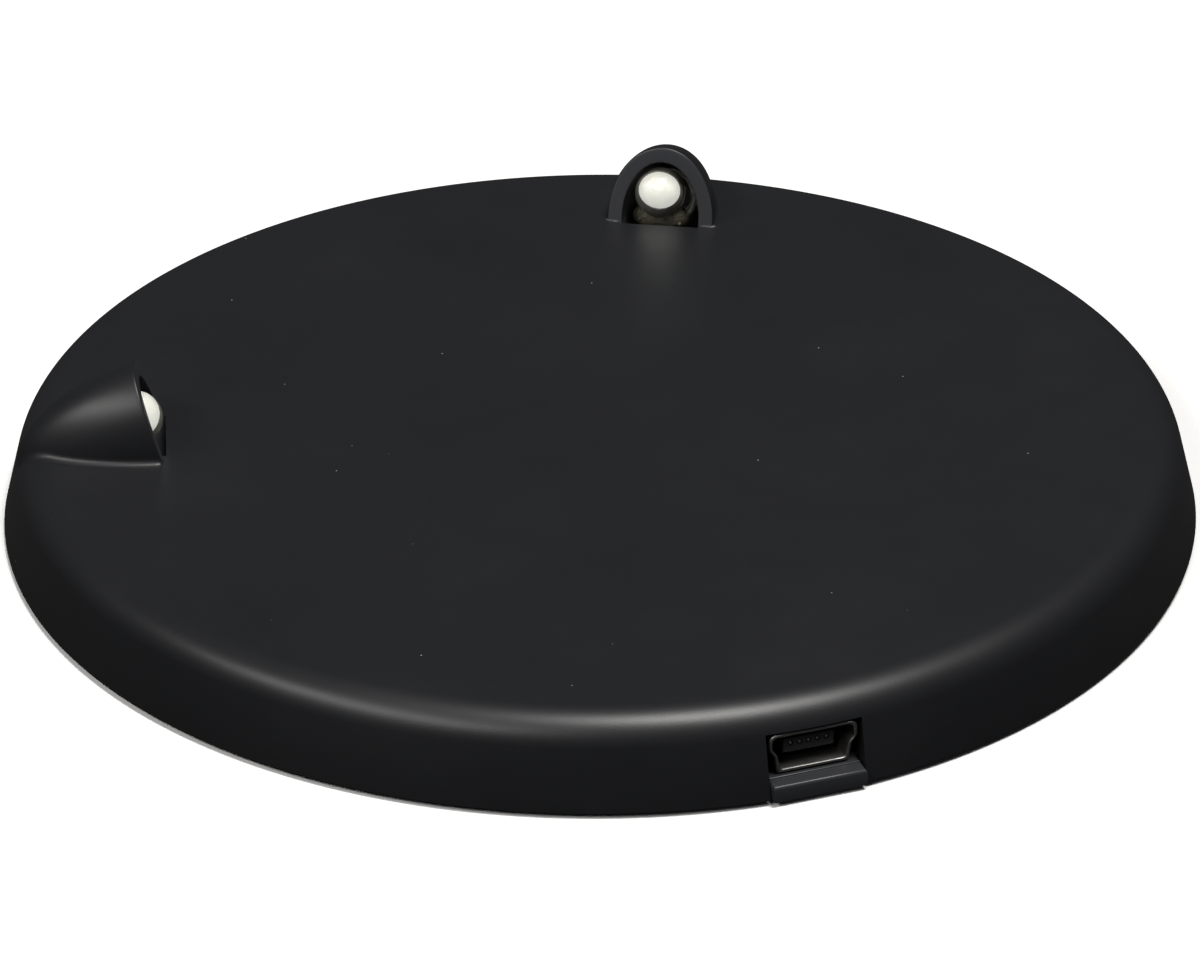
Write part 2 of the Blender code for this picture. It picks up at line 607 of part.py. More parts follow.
def make_chip(name, sizes, finish):
    """A square-cornered component under the board, with legs along two sides."""
    (x, y), (length, width), height, legs = sizes
    top = BOARD_Z - SOLDER_GAP
    chip = block(name, (x - length / 2, y - width / 2, top - height),
                 (x + length / 2, y + width / 2, top), finish, height / 10)
    for index in range(legs):
        leg_x = x + (index - (legs - 1) / 2) * length / legs
        for side in (-1, 1):
            inner = y + side * (width / 2 - LEG_WIDTH)
            outer = y + side * (width / 2 + LEG_REACH)
            leg = block("leg", (leg_x - LEG_WIDTH / 2, min(inner, outer), top - LEG_WIDTH),
                        (leg_x + LEG_WIDTH / 2, max(inner, outer), top - LEG_WIDTH / 2))
            carve(chip, leg, "UNION")
    return chip


def make_inductor(finish):
    """A squat choke: two square cheeks on a round core."""
    half = CHOKE_SIDE / 2
    top = BOARD_Z - SOLDER_GAP
    low = top - CHOKE_HEIGHT
    x, y = CHOKE_PLACE
    choke = block("power_inductor", (x - half, y - half, top - CHOKE_CHEEK),
                  (x + half, y + half, top), finish, CHOKE_CHEEK / 3)
    core = drum("core", CHOKE_CORE_RADIUS, low + CHOKE_CHEEK / 2, top - CHOKE_CHEEK / 2)
    core.location = (x, y, 0)
    carve(choke, core, "UNION")
    lower = block("lower", (x - half, y - half, low), (x + half, y + half, low + CHOKE_CHEEK),
                  None, CHOKE_CHEEK / 3)
    return smooth(carve(choke, lower, "UNION"))


def coil_path():
    """In along the ferrite's slot, up, out round the turns, and away beside the start."""
    start_angle = -90.0
    slot_z = FERRITE_Z + FERRITE_THICKNESS / 2
    middle = COIL_INNER_RADIUS - 2 * COIL_PITCH
    path = [Vector((0, -BOARD_INNER_EDGE + 2 * WIRE_RADIUS, slot_z)), Vector((0, -FERRITE_RADIUS, slot_z)),
            Vector((0, -COIL_INNER_RADIUS, slot_z)), Vector((0, -middle, COIL_Z))]
    path.append(Vector((middle / 2, -middle, COIL_Z)))
    lead_in = COIL_STEPS // 6
    for step in range(lead_in, COIL_TURNS * COIL_STEPS + 1):
        turn = step / COIL_STEPS
        path.append(on_circle(COIL_INNER_RADIUS + COIL_PITCH * turn, start_angle + 360 * turn, COIL_Z))
    outer = COIL_INNER_RADIUS + COIL_PITCH * (COIL_TURNS + 0.1)
    path.append(Vector((COIL_EXIT_SIDE, -outer, COIL_Z)))
    path.append(Vector((COIL_EXIT_SIDE + COIL_PITCH, -BOARD_INNER_EDGE + 2 * WIRE_RADIUS, COIL_Z)))
    return path


def make_ferrite(finish):
    sheet = drum("ferrite_sheet", FERRITE_RADIUS, FERRITE_Z, FERRITE_TOP_Z, finish, 48)
    slot = block("slot", (-FERRITE_SLOT / 2, -FERRITE_RADIUS - SEAT_GAP, FERRITE_Z - SEAT_GAP),
                 (FERRITE_SLOT / 2, -COIL_INNER_RADIUS + 4 * COIL_PITCH, FERRITE_TOP_Z + SEAT_GAP))
    return carve(sheet, slot)


def lens_frame(side):
    """Origin at the back of a lamp's flange, Z along its optical axis."""
    dome = LENS_LENGTH - LENS_RADIUS
    out = HOOD_FOOT_RADIUS + LENS_DOME_OUT + dome * math.cos(LENS_TILT)
    up = TOP_Z + LENS_DOME_UP[side] - dome * math.sin(LENS_TILT)
    return (lamp_frame(LAMP_ANGLES[side]) @ Matrix.Translation((out, 0, up))
            @ Matrix.Rotation(LENS_YAW[side], 4, "Z") @ Matrix.Rotation(LENS_TILT - math.pi / 2, 4, "Y"))


def make_lens(side, finish):
    dome = arc((0, LENS_LENGTH - LENS_RADIUS), LENS_RADIUS, 0, 90, 6)
    profile = [(0, LENS_BORE_DEPTH), (LENS_BORE_RADIUS, LENS_BORE_DEPTH), (LENS_BORE_RADIUS, 0),
               (LENS_FLANGE_RADIUS, 0), (LENS_FLANGE_RADIUS, LENS_FLANGE_HEIGHT),
               (LENS_RADIUS, LENS_FLANGE_HEIGHT)]
    lens = turned("lamp_lens_" + side, profile + dome, finish, 24)
    flat = block("flat", (LENS_RADIUS, -LENS_LENGTH, -LENS_LENGTH),
                 (LENS_LENGTH, LENS_LENGTH, LENS_FLANGE_HEIGHT + SEAT_GAP))
    flat.matrix_world = Matrix.Rotation(math.pi / 2, 4, "Z")
    carve(lens, flat)
    lens.matrix_world = lens_frame(side)
    return smooth(lens)


def make_lead(name, side, across, head, finish):
    """One leg of a lamp: its head stands in the lens, its foot bends down to the wires."""
    frame = lens_frame(side)
    stem = [frame @ Vector((0, across, LENS_FLANGE_HEIGHT)), frame @ Vector((0, across, -LEAD_LENGTH / 2)),
            frame @ Vector((0, across, -LEAD_LENGTH))]
    stem.append(stem[-1] + (stem[-1] - stem[-2]) * 0.3 - Vector((0, 0, LEAD_DROP / 2)))
    stem.append(stem[-1] - Vector((0, 0, LEAD_DROP / 2)))
    lead = tube(name, stem, LEAD_WIDTH / 2, finish)
    head.matrix_world = frame
    return carve(lead, head, "UNION")


def make_leads(side, finish):
    top = LENS_BORE_DEPTH - SEAT_GAP
    gap = LEAD_SPACING / 2
    cup = [(0, LENS_FLANGE_HEIGHT / 2), (gap / 2, LENS_FLANGE_HEIGHT / 2), (gap - SEAT_GAP, top),
           (0.6 * gap, top), (0.3 * gap, top - 0.4 * MM), (0, top - 0.4 * MM)]
    holder = turned("cup", cup, None, 12)
    holder.data.transform(Matrix.Translation((0, gap / 2 - SEAT_GAP, 0)))
    make_lead("lamp_cathode_" + side, side, gap, holder, finish)
    flag = block("flag", (-LEAD_WIDTH, -gap - FLAG_THICKNESS / 2, LENS_FLANGE_HEIGHT / 2),
                 (LEAD_WIDTH, -gap + FLAG_THICKNESS / 2, top - SEAT_GAP))
    make_lead("lamp_anode_" + side, side, -gap, flag, finish)


def make_glue(side, finish):
    """The clear bead that holds a lamp up from below, hollowed to the lamp's round."""
    reach = LENS_RADIUS + GLUE_DEPTH
    bead = block("lamp_glue_" + side, (-reach, -GLUE_HALF_WIDTH, LENS_FLANGE_HEIGHT + SEAT_GAP),
                 (-LENS_RADIUS / 2, GLUE_HALF_WIDTH, LENS_FLANGE_HEIGHT + SEAT_GAP + GLUE_LENGTH),
                 finish, GLUE_DEPTH / 4)
    carve(bead, drum("round", LENS_RADIUS + SEAT_GAP, -LENS_LENGTH, LENS_LENGTH, steps=24))
    bead.matrix_world = lens_frame(side)
    return smooth(bead)


def wire_route(side, lane, start_x):
    """From the board's inner edge, round outside the coil, and out to a lamp's leads."""
    degrees = LAMP_ANGLES[side]
    ring = WIRE_RING + lane * WIRE_SPACING
    turn = 1 if start_x > 0 else -1
    first = math.degrees(math.atan2(-BOARD_INNER_EDGE, start_x)) % 360
    last = degrees - turn * (WIRE_TURN_ANGLE + lane * WIRE_LANE_ANGLE)
    if turn > 0:
        last += 360
    steps = max(3, round(abs(last - first) / 14))
    across = turn * (0.5 - lane) * LEAD_SPACING
    route = [Vector((start_x, -BOARD_INNER_EDGE - 2 * WIRE_RADIUS, BOARD_Z - 2 * WIRE_RADIUS))]
    route.append(Vector((start_x * 1.02, -BOARD_INNER_EDGE + 3 * WIRE_RADIUS, (BOARD_Z + WIRE_Z) / 2)))
    for step in range(1, steps + 1):
        route.append(on_circle(ring, first + (last - first) * step / steps, WIRE_Z))
    end = lead_foot(side, across)
    low = Vector((end.x, end.y, WIRE_Z))
    route.append(route[-1].lerp(low, 0.6))
    route.append(low)
    return route


def lead_foot(side, across):
    """Just inwards of the lower end of a lamp's lead."""
    bend = lens_frame(side) @ Vector((0, across, -LEAD_LENGTH))
    inwards = -on_circle(LEAD_WIDTH / 2 + WIRE_RADIUS + SEAT_GAP, LAMP_ANGLES[side])
    return bend + inwards


def make_wires(finishes):
    starts = {"left": -WIRE_START, "back": WIRE_START}
    inner_lane = {"left": "red", "back": "black"}
    for side in LAMP_ANGLES:
        for colour in finishes:
            lane = 0 if colour == inner_lane[side] else 1
            spread = lane * WIRE_SPACING * (1 if starts[side] > 0 else -1)
            route = wire_route(side, lane, starts[side] + spread)
            tube("lamp_wire_%s_%s" % (side, colour), eased(route, 2), WIRE_RADIUS, finishes[colour])


def main():
    clear_scene()
    black = plastic("satin_black_plastic", (0.022, 0.023, 0.026), 0.42)
    rubber = plastic("black_rubber", (0.03, 0.03, 0.03), 0.85)
    epoxy = plastic("clear_epoxy", (0.9, 0.93, 0.88), 0.08)
    glue = plastic("clear_glue", (0.8, 0.76, 0.6), 0.35)
    moulding = plastic("dark_insulator", (0.03, 0.03, 0.033), 0.5)
    laminate = plastic("green_laminate", (0.03, 0.16, 0.07), 0.45)
    chip = plastic("chip_resin", (0.025, 0.025, 0.027), 0.55)
    ferrite = plastic("grey_ferrite", (0.09, 0.09, 0.095), 0.7)
    tape = plastic("adhesive_tape", (0.75, 0.72, 0.62), 0.6)
    ceramic = plastic("tan_ceramic", (0.45, 0.32, 0.2), 0.5)
    steel = material("zinc_steel", (0.6, 0.61, 0.62), 0.35, 1.0)
    tin = material("tinned_steel", (0.72, 0.72, 0.7), 0.3, 1.0)
    nickel = material("nickel_plate", (0.62, 0.6, 0.56), 0.25, 1.0)
    copper = material("enamelled_copper", (0.62, 0.26, 0.12), 0.35, 0.9)
    insulation = {"red": plastic("red_insulation", (0.5, 0.03, 0.03), 0.45),
                  "black": plastic("black_insulation", (0.03, 0.03, 0.03), 0.45)}

    make_top_shell(black)
    make_base_plate(black)
    for number, degrees in enumerate(SCREW_ANGLES, 1):
        make_screw(number, degrees, steel)
    for number, degrees in enumerate(FOOT_ANGLES, 1):
        make_foot(number, degrees, rubber)

    make_board(laminate)
    make_usb_shell(tin)
    make_usb_insulator(moulding)
    for number, x in enumerate(contact_places(), 1):
        make_usb_contact(number, x, nickel)
    for name, sizes in CHIPS.items():
        make_chip(name, sizes, chip)
    for name, sizes in CAPACITORS.items():
        make_chip(name, sizes, ceramic)
    make_inductor(ferrite)

    smooth(tube("charging_coil", coil_path(), COIL_WIRE_RADIUS, copper, 1))
    make_ferrite(ferrite)
    outer = COIL_INNER_RADIUS + COIL_PITCH * COIL_TURNS
    drum("coil_tape", outer, TAPE_Z, TAPE_Z + TAPE_THICKNESS, tape, 48)

    for side in LAMP_ANGLES:
        make_lens(side, epoxy)
        make_leads(side, tin)
        make_glue(side, glue)
    make_wires(insulation)


main()
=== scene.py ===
"""Looks of the round charging pad: a satin black moulding with two hooded lamps.

Metres, +Z up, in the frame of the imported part. Each shape here follows the sizes of the
solids; angles round the pad are in degrees from +X, and the socket faces -Y.
"""
import math

import bmesh
import bpy
from mathutils import Matrix, Vector


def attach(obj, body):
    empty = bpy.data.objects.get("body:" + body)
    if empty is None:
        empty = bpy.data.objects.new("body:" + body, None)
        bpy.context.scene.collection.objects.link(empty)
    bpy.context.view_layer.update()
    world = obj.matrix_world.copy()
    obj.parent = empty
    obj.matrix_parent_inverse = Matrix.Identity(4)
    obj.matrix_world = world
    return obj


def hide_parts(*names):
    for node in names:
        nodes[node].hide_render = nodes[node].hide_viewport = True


MM = 0.001

# The case
BODY_RADIUS = 55.0 * MM
RIM_Z = 0.5 * MM
TOP_Z = 8.4 * MM
SKIRT_DRAFT = math.radians(14.7)
RIM_FILLET = 3.3 * MM
TOP_WALL = 1.3 * MM
SKIRT_WALL = 1.8 * MM
INNER_FILLET = 1.6 * MM
CEILING_Z = TOP_Z - TOP_WALL
EDGE = 0.12 * MM               # broken edges of the moulding
WELD = 1e-7                    # points closer than this are one
CASE_STEPS = 288
FILLET_STEPS = 20

# Hoods and the wells under them
LAMPS = {"left": 166.0, "back": 62.0}
HOOD_FOOT = 40.15 * MM
MOUTH_LEAN = math.radians(16.6)
HOOD_OUT = 0.25 * MM
HOOD_UP = 0.5 * MM
HOOD_AXES = (13.4 * MM, 5.3 * MM, 7.1 * MM)
HOOD_DIP = math.radians(15.2)
HOOD_WALL = 1.5 * MM
WELL_LIP = 0.35 * MM
FOOT_FILLET = 0.60 * MM        # hollow round where a hood grows out of the top
MOUTH_FILLET = 0.15 * MM       # the same, in front of its mouth
MOUTH_ROUND = 0.20 * MM        # round of the mouth's outer edge
RIBS = 56                      # from mouth to tail
RIB_POINTS = 96                # over the hood, foot to foot
HOOD_SINK = 0.06 * MM          # how far a hood's foot goes below the top
MOUTH_DEPTH = 1.2 * MM         # of the zone that takes the mouth's fillet
LINER_START, LINER_SWEEP = -62, 304                    # degrees round the hood's long axis
LINER_STEPS, LINER_ROWS = 90, 36
WELL_GAP = 0.05 * MM           # well to liner

# Lamps
LENS_RADIUS = 2.5 * MM
FLANGE_RADIUS = 2.85 * MM
FLANGE_HEIGHT = 1.0 * MM
LENS_LENGTH = 8.0 * MM
LENS_TILT = math.radians(31.0)
DOME_OUT = 2.3 * MM
DOME_UP = {"left": 2.0 * MM, "back": 2.4 * MM}
LENS_YAW = {"left": 0.0, "back": math.radians(-4.0)}
CORE_RADIUS = {"left": 1.62 * MM, "back": 1.38 * MM}   # milky core of each lens
CORE_LIFT = {"left": 0.12 * MM, "back": 0.11 * MM}
CORE_DEPTH = 0.5 * MM          # how far it reaches back into the barrel
CORE_SQUEEZE = 0.86            # its height as a share of its width

# Glue under the lamps, in a lamp's own axes: Z forward, -X down
GLUE_MIDDLE = (-2.2 * MM, 0, 3.2 * MM)
GLUE_HALF_SIZE = (1.5 * MM, 2.95 * MM, 2.0 * MM)
GLUE_LUMP = 0.06 * MM
# Place and radius of each stray drop, in millimetres
GLUE_DROPS = (((-1.85, -2.7, 3.6), 0.26), ((-2.9, -2.1, 4.3), 0.2), ((-2.8, 1.9, 4.6), 0.16))

# Socket and the sill below it
SOCKET_WIDTH = 7.9 * MM
WAIST_WIDTH = 6.9 * MM
HEEL_WIDTH = 6.5 * MM
SOCKET_HEIGHT = 3.75 * MM
SOCKET_TOP_Z = 5.9 * MM
SOCKET_LENGTH = 8.8 * MM
SOCKET_METAL = 0.3 * MM
SOCKET_FACE = 53.4 * MM
SOCKET_CORNER = 0.7 * MM
TONGUE_TOP_Z = 4.65 * MM
TONGUE_SIZE = (4.6 * MM, 1.35 * MM)
TONGUE_SETBACK = 1.1 * MM
PLUG_DEPTH = 5.6 * MM
WING_REACH = (3.8 * MM, 4.75 * MM)                     # solder tabs on the sleeve's sides
WING_HALF_LENGTH = 0.8 * MM
WING_Z = (4.7 * MM, 5.0 * MM)
WING_PLACES = (0.55, 0.85)     # shares of the socket's length, from its face
CONTACTS = 5
CONTACT_Z = 4.15 * MM
CONTACT_PITCH = 0.8 * MM
CONTACT_NOSE = 0.15 * MM
CONTACT_HALF_WIDTH = 0.18 * MM
CONTACT_HALF_THICK = 0.1 * MM
CONTACT_TAIL = 0.9 * MM        # behind the sleeve, where each contact turns up to the board
CONTACT_TOP_Z = 5.9 * MM
PORT_RADIUS = 0.25 * MM
PORT_DEPTH = 0.14 * MM
NOTCH_SIDE = 0.35 * MM
NOTCH_ROOF = 0.2 * MM
NOTCH_INNER = 50.2 * MM        # pad axis to the notch's inner end
BASE_THICKNESS = 1.5 * MM
FLOOR_Z = RIM_Z + BASE_THICKNESS
BASE_SIDE = 0.3 * MM           # gap between the base and the skirt
SILL_PROUD = 0.2 * MM
SILL_CHAMFER = 0.2 * MM
SILL_ROUND = 0.30 * MM
SILL_GAP = 0.1 * MM
BURR_SETBACK = 1.25 * MM       # rim to the raised line across the sill

# What holds the case together, and its feet
SCREW_ANGLES = (-35.0, 20.0, 114.0, 215.0)
SCREW_CIRCLE = 46 * MM
SCREW_SEAT_Z = 1.75 * MM
SCREW_HEAD_Z = 0.65 * MM
SCREW_TIP_Z = 6.15 * MM
SCREW_RADIUS = 1.05 * MM
HEAD_RADIUS = 2.0 * MM
RECESS = (2.3 * MM, 0.5 * MM, 1.3 * MM)
SINK_RADIUS = 2.3 * MM
ROOT_Z = 7.4 * MM              # bosses and pins start inside the top's wall
BOSS_RADIUS = 2.5 * MM
BOSS_LOW_Z = 3.45 * MM
BOSS_HOLE = 1.3 * MM
BOSS_HOLE_END_Z = 6.8 * MM
COLLAR_RADIUS = 3.3 * MM
COLLAR_HOLE = 1.35 * MM
COLLAR_TOP_Z = 3.2 * MM
PIN_RADIUS = 0.9 * MM
PIN_LOW_Z = 5.45 * MM
PIN_PLACE = (20.5 * MM, -38 * MM)
PILLAR_RADIUS = 1.6 * MM
PILLAR_ROOT_Z = 1.25 * MM
BOARD_PILLARS = (-20.5, 0.0, 20.5)                     # mm to the side, in one row
BOARD_PILLAR_ROW = -28.5 * MM
BOARD_PILLAR_TOP_Z = 5.8 * MM
FERRITE_PILLARS = 3
FERRITE_PILLAR_CIRCLE = 15 * MM
FERRITE_PILLAR_TOP_Z = 4.0 * MM
FOOT_ANGLES = (-50.0, 45.0, 140.0, 230.0)
FOOT_CIRCLE = 37 * MM
FOOT_RADIUS = 4 * MM
FOOT_HEIGHT = 0.85 * MM
POCKET_RADIUS = 4.3 * MM
POCKET_TOP_Z = 1.1 * MM
BELOW_Z = -MM                  # tools that cut from below start here

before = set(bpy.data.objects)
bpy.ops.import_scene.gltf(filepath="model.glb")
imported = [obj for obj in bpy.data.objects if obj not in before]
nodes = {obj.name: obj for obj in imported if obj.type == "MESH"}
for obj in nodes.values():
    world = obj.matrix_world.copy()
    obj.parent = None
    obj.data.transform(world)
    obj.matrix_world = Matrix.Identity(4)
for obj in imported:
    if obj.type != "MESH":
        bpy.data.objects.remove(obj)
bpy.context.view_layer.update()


# ---------------------------------------------------------------- finishes

class Value:
    """A shader value that adds and multiplies like a number."""

    def __init__(self, finish, socket):
        self.finish = finish
        self.socket = socket

    def maths(self, operation, *terms):
        made = self.finish.node("ShaderNodeMath", {"operation": operation},
                                {index: term for index, term in enumerate(terms)})
        return made[0]

    def __add__(self, other):
        return self.maths("ADD", self, other)

    def __sub__(self, other):
        return self.maths("SUBTRACT", self, other)

    def __rsub__(self, other):
        return self.maths("SUBTRACT", other, self)

    def __mul__(self, other):
        return self.maths("MULTIPLY", self, other)

    def __lt__(self, other):
        return self.maths("LESS_THAN", self, other)

    __radd__ = __add__
    __rmul__ = __mul__


class Finish:
    """One procedural finish, built round a Principled shader."""

    def __init__(self, name, **fixed):
        self.material = bpy.data.materials.new(name)
        self.material.use_nodes = True
        self.tree = self.material.node_tree
        self.shader = self.tree.nodes["Principled BSDF"]
        for label, value in fixed.items():
            socket = self.shader.inputs[label.replace("_", " ")]
            socket.default_value = (*value, 1.0) if isinstance(value, tuple) else value
        self.place = self.node("ShaderNodeTexCoord")["Object"]

    def node(self, kind, settings=None, sockets=None):
        """Add a node: its settings first, then numbers, colours or links into its sockets."""
        made = self.tree.nodes.new(kind)
        for label, value in (settings or {}).items():
            setattr(made, label, value)
        for label, value in (sockets or {}).items():
            self.feed(made.inputs[label], value)
        return Outputs(self, made)

    def feed(self, socket, value):
        if isinstance(value, Value):
            self.tree.links.new(value.socket, socket)
        elif isinstance(value, tuple) and socket.type == "RGBA":
            socket.default_value = (*value, 1.0)
        else:
            socket.default_value = value

    def vary(self, label, value):
        self.feed(self.shader.inputs[label], value)

    def noise(self, grain, detail=2.0, rough=0.5):
        """Soft noise whose lumps are about grain metres across."""
        return self.node("ShaderNodeTexNoise", None,
                         {"Vector": self.place, "Scale": 1.0 / grain, "Detail": detail,
                          "Roughness": rough})["Fac"]

    def cells(self, size, feature="F1", jitter=1.0):
        return self.node("ShaderNodeTexVoronoi", {"feature": feature},
                         {"Vector": self.place, "Scale": 1.0 / size, "Randomness": jitter})

    def step(self, value, low, high):
        """Smooth rise from 0 at low to 1 at high."""
        return self.node("ShaderNodeMapRange", {"interpolation_type": "SMOOTHSTEP"},
                         {"Value": value, "From Min": low, "From Max": high})["Result"]

    def mix(self, factor, one, other):
        """Blend two colours."""
        made = self.node("ShaderNodeMix", {"data_type": "RGBA"})
        inputs = made.made.inputs
        self.feed(inputs[0], factor)
        self.feed(inputs[6], one)
        self.feed(inputs[7], other)
        return made[2]

    def bump(self, height, depth, strength=1.0):
        made = self.node("ShaderNodeBump", None,
                         {"Height": height, "Distance": depth, "Strength": strength})
        self.vary("Normal", made["Normal"])


class Outputs:
    """The outputs of a node, by name or number, as values."""

    def __init__(self, finish, made):
        self.finish = finish
        self.made = made

    def __getitem__(self, label):
        return Value(self.finish, self.made.outputs[label])


SATIN_BLACK = ((0.0075, 0.0079, 0.0092), (0.0122, 0.0126, 0.0142))


def specks(finish, spacing, size, share):
    """Stray specks: one in some of the cells of a loose grid, each a small dot."""
    cell = finish.cells(spacing)
    lucky = finish.node("ShaderNodeSeparateColor", None, {"Color": cell["Color"]})
    dot = 1 - finish.step(cell["Distance"], 0.4 * size / spacing, size / spacing)
    return dot * (lucky["Red"] < share)


def moulded_black(name="satin_black_plastic", paler=1.0):
    """Satin black moulding: fine spark-eroded grain, faint flow clouds, dust and scuffs."""
    skin = Finish(name, Specular_IOR_Level=0.42, IOR=1.5)
    grain = skin.noise(0.16 * MM, 3.0, 0.6)
    clouds = skin.noise(14 * MM, 4.0, 0.6)
    dust = specks(skin, 6.5 * MM, 0.14 * MM, 0.45)
    dust = dust + specks(skin, 2.6 * MM, 0.085 * MM, 0.20)
    streaks = skin.noise(3.0 * MM, 6.0, 0.75)
    scuff = skin.step(streaks, 0.735, 0.76) * 0.12
    # paler above 1 makes lighter copies of this finish, which paint light on the hoods' mouth
    # faces and liners and on the sill
    dark, pale = (tuple(paler * part for part in tone) for tone in SATIN_BLACK)
    colour = skin.mix(clouds, dark, pale)
    colour = skin.mix(scuff, colour, (0.12, 0.12, 0.12))
    colour = skin.mix(dust * 0.8, colour, (0.42, 0.42, 0.40))
    skin.vary("Base Color", colour)
    skin.vary("Roughness", 0.34 + 0.06 * clouds + 0.05 * grain + 0.25 * dust)
    skin.bump(grain + 3.0 * dust, 0.010 * MM, 0.55)
    return skin.material


def base_black():
    """The underside: coarser spark texture and scattered dust specks."""
    skin = Finish("base_black_plastic", Specular_IOR_Level=0.4)
    grain = skin.noise(0.3 * MM, 3.0, 0.65)
    clouds = skin.noise(11 * MM, 4.0, 0.6)
    dust = specks(skin, 4.1 * MM, 0.09 * MM, 0.5)
    colour = skin.mix(clouds, (0.012, 0.012, 0.0135), (0.020, 0.020, 0.0215))
    skin.vary("Base Color", skin.mix(dust * 0.5, colour, (0.4, 0.4, 0.38)))
    skin.vary("Roughness", 0.46 + 0.10 * grain)
    skin.bump(grain, 0.03 * MM, 0.6)
    return skin.material


def rubber():
    soft = Finish("black_rubber", Specular_IOR_Level=0.3)
    grain = soft.noise(0.22 * MM, 3.0, 0.6)
    bloom = soft.noise(2.2 * MM, 4.0, 0.6)
    soft.vary("Base Color", soft.mix(soft.step(bloom, 0.45, 0.75), (0.022, 0.022, 0.022),
                                     (0.055, 0.054, 0.050)))
    soft.vary("Roughness", 0.72 + 0.15 * grain)
    soft.bump(grain, 0.02 * MM, 0.5)
    return soft.material


def metal(name, colour, worn, roughness, grain_size, depth):
    """Plated metal with a fine rolled grain and duller, warmer patches."""
    sheet = Finish(name, Metallic=1.0)
    grain = sheet.noise(grain_size, 4.0, 0.7)
    patches = sheet.noise(1.7 * MM, 3.0, 0.6)
    tarnish = sheet.step(patches, 0.42, 0.72)
    sheet.vary("Base Color", sheet.mix(tarnish, colour, worn))
    sheet.vary("Roughness", roughness + 0.14 * tarnish + 0.08 * grain)
    sheet.bump(grain, depth, 0.4)
    return sheet.material


def clear_epoxy():
    """Water-clear lamp body: smooth, with the faintest ripple of the casting."""
    clear = Finish("clear_epoxy", Transmission_Weight=0.87, IOR=1.53)
    ripple = clear.noise(1.1 * MM, 2.0)
    clear.vary("Base Color", clear.mix(ripple, (0.88, 0.87, 0.74), (0.96, 0.95, 0.86)))
    clear.vary("Roughness", 0.02 + 0.05 * clear.step(ripple, 0.5, 0.8))
    clear.bump(ripple, 0.02 * MM, 0.3)
    return clear.material


def milky_core():
    """Diffusing heart of the lamp, bright where it gathers light."""
    milk = Finish("milky_epoxy", Emission_Strength=0.72, Specular_IOR_Level=0.6)
    cloud = milk.noise(1.3 * MM, 3.0, 0.55)
    milk.vary("Base Color", milk.mix(cloud, (0.80, 0.81, 0.80), (0.95, 0.95, 0.92)))
    milk.vary("Emission Color", milk.mix(cloud, (0.62, 0.64, 0.66), (1.0, 1.0, 0.96)))
    milk.vary("Roughness", 0.25 + 0.2 * cloud)
    return milk.material


def hot_glue():
    """Yellowed clear glue with bubbles and a skin that puckered as it set."""
    glue = Finish("clear_glue", Transmission_Weight=0.3, IOR=1.48)
    pucker = glue.noise(0.8 * MM, 3.0, 0.6)
    bubbles = glue.cells(0.5 * MM)
    bead = 1 - glue.step(bubbles["Distance"], 0.12, 0.3)
    glue.vary("Base Color", glue.mix(pucker, (0.075, 0.072, 0.050), (0.20, 0.19, 0.145)))
    glue.vary("Roughness", 0.06 + 0.14 * pucker)
    glue.bump(pucker + 0.3 * bead, 0.20 * MM, 0.8)
    return glue.material


def insulator():
    """Glass-filled nylon: dull, with short pale fibres just under the skin."""
    nylon = Finish("dark_insulator", Specular_IOR_Level=0.45)
    fibres = nylon.noise(0.09 * MM, 4.0, 0.7)
    shade = nylon.noise(0.9 * MM, 2.0)
    nylon.vary("Base Color", nylon.mix(fibres, (0.018, 0.019, 0.021), (0.050, 0.050, 0.052)))
    nylon.vary("Roughness", 0.45 + 0.15 * shade)
    nylon.bump(fibres, 0.01 * MM, 0.5)
    return nylon.material


def laminate():
    """Green solder mask over faint copper runs on glass cloth."""
    board = Finish("green_laminate", Coat_Roughness=0.2, Specular_IOR_Level=0.5)
    cloth = board.node("ShaderNodeTexBrick", {"offset": 0.5},
                       {"Vector": board.place, "Scale": 900.0, "Mortar Size": 0.03,
                        "Color1": (0.4, 0.4, 0.4), "Color2": (0.55, 0.55, 0.55),
                        "Mortar": (0.0, 0.0, 0.0)})["Fac"]
    runs = board.cells(2.6 * MM, "DISTANCE_TO_EDGE", 0.35)["Distance"]
    copper = 1 - board.step(runs, 0.07, 0.10)
    shade = board.noise(6 * MM, 3.0)
    green = board.mix(shade, (0.012, 0.085, 0.035), (0.022, 0.125, 0.055))
    board.vary("Base Color", board.mix(copper, green, (0.055, 0.21, 0.085)))
    board.vary("Roughness", 0.30 + 0.12 * shade)
    board.vary("Coat Weight", 0.3 + 0.2 * copper)
    board.bump(0.5 * cloth + copper, 0.03 * MM, 0.5)
    return board.material


def chip_resin():
    resin = Finish("chip_resin", Specular_IOR_Level=0.4)
    grain = resin.noise(0.12 * MM, 3.0, 0.6)
    resin.vary("Base Color", resin.mix(grain, (0.016, 0.016, 0.018), (0.036, 0.036, 0.038)))
    resin.vary("Roughness", 0.5 + 0.15 * grain)
    resin.bump(grain, 0.015 * MM, 0.5)
    return resin.material


def fired(name, dark, pale, roughness, grain_size):
    """Pressed and fired body: speckled, with pin holes."""
    body = Finish(name, Specular_IOR_Level=0.4)
    grain = body.noise(grain_size, 4.0, 0.7)
    pits = body.cells(3.5 * grain_size)["Distance"]
    pit = 1 - body.step(pits, 0.08, 0.2)
    body.vary("Base Color", body.mix(grain, dark, pale))
    body.vary("Roughness", roughness + 0.15 * grain)
    body.bump(grain - 1.5 * pit, 0.02 * MM, 0.6)
    return body.material


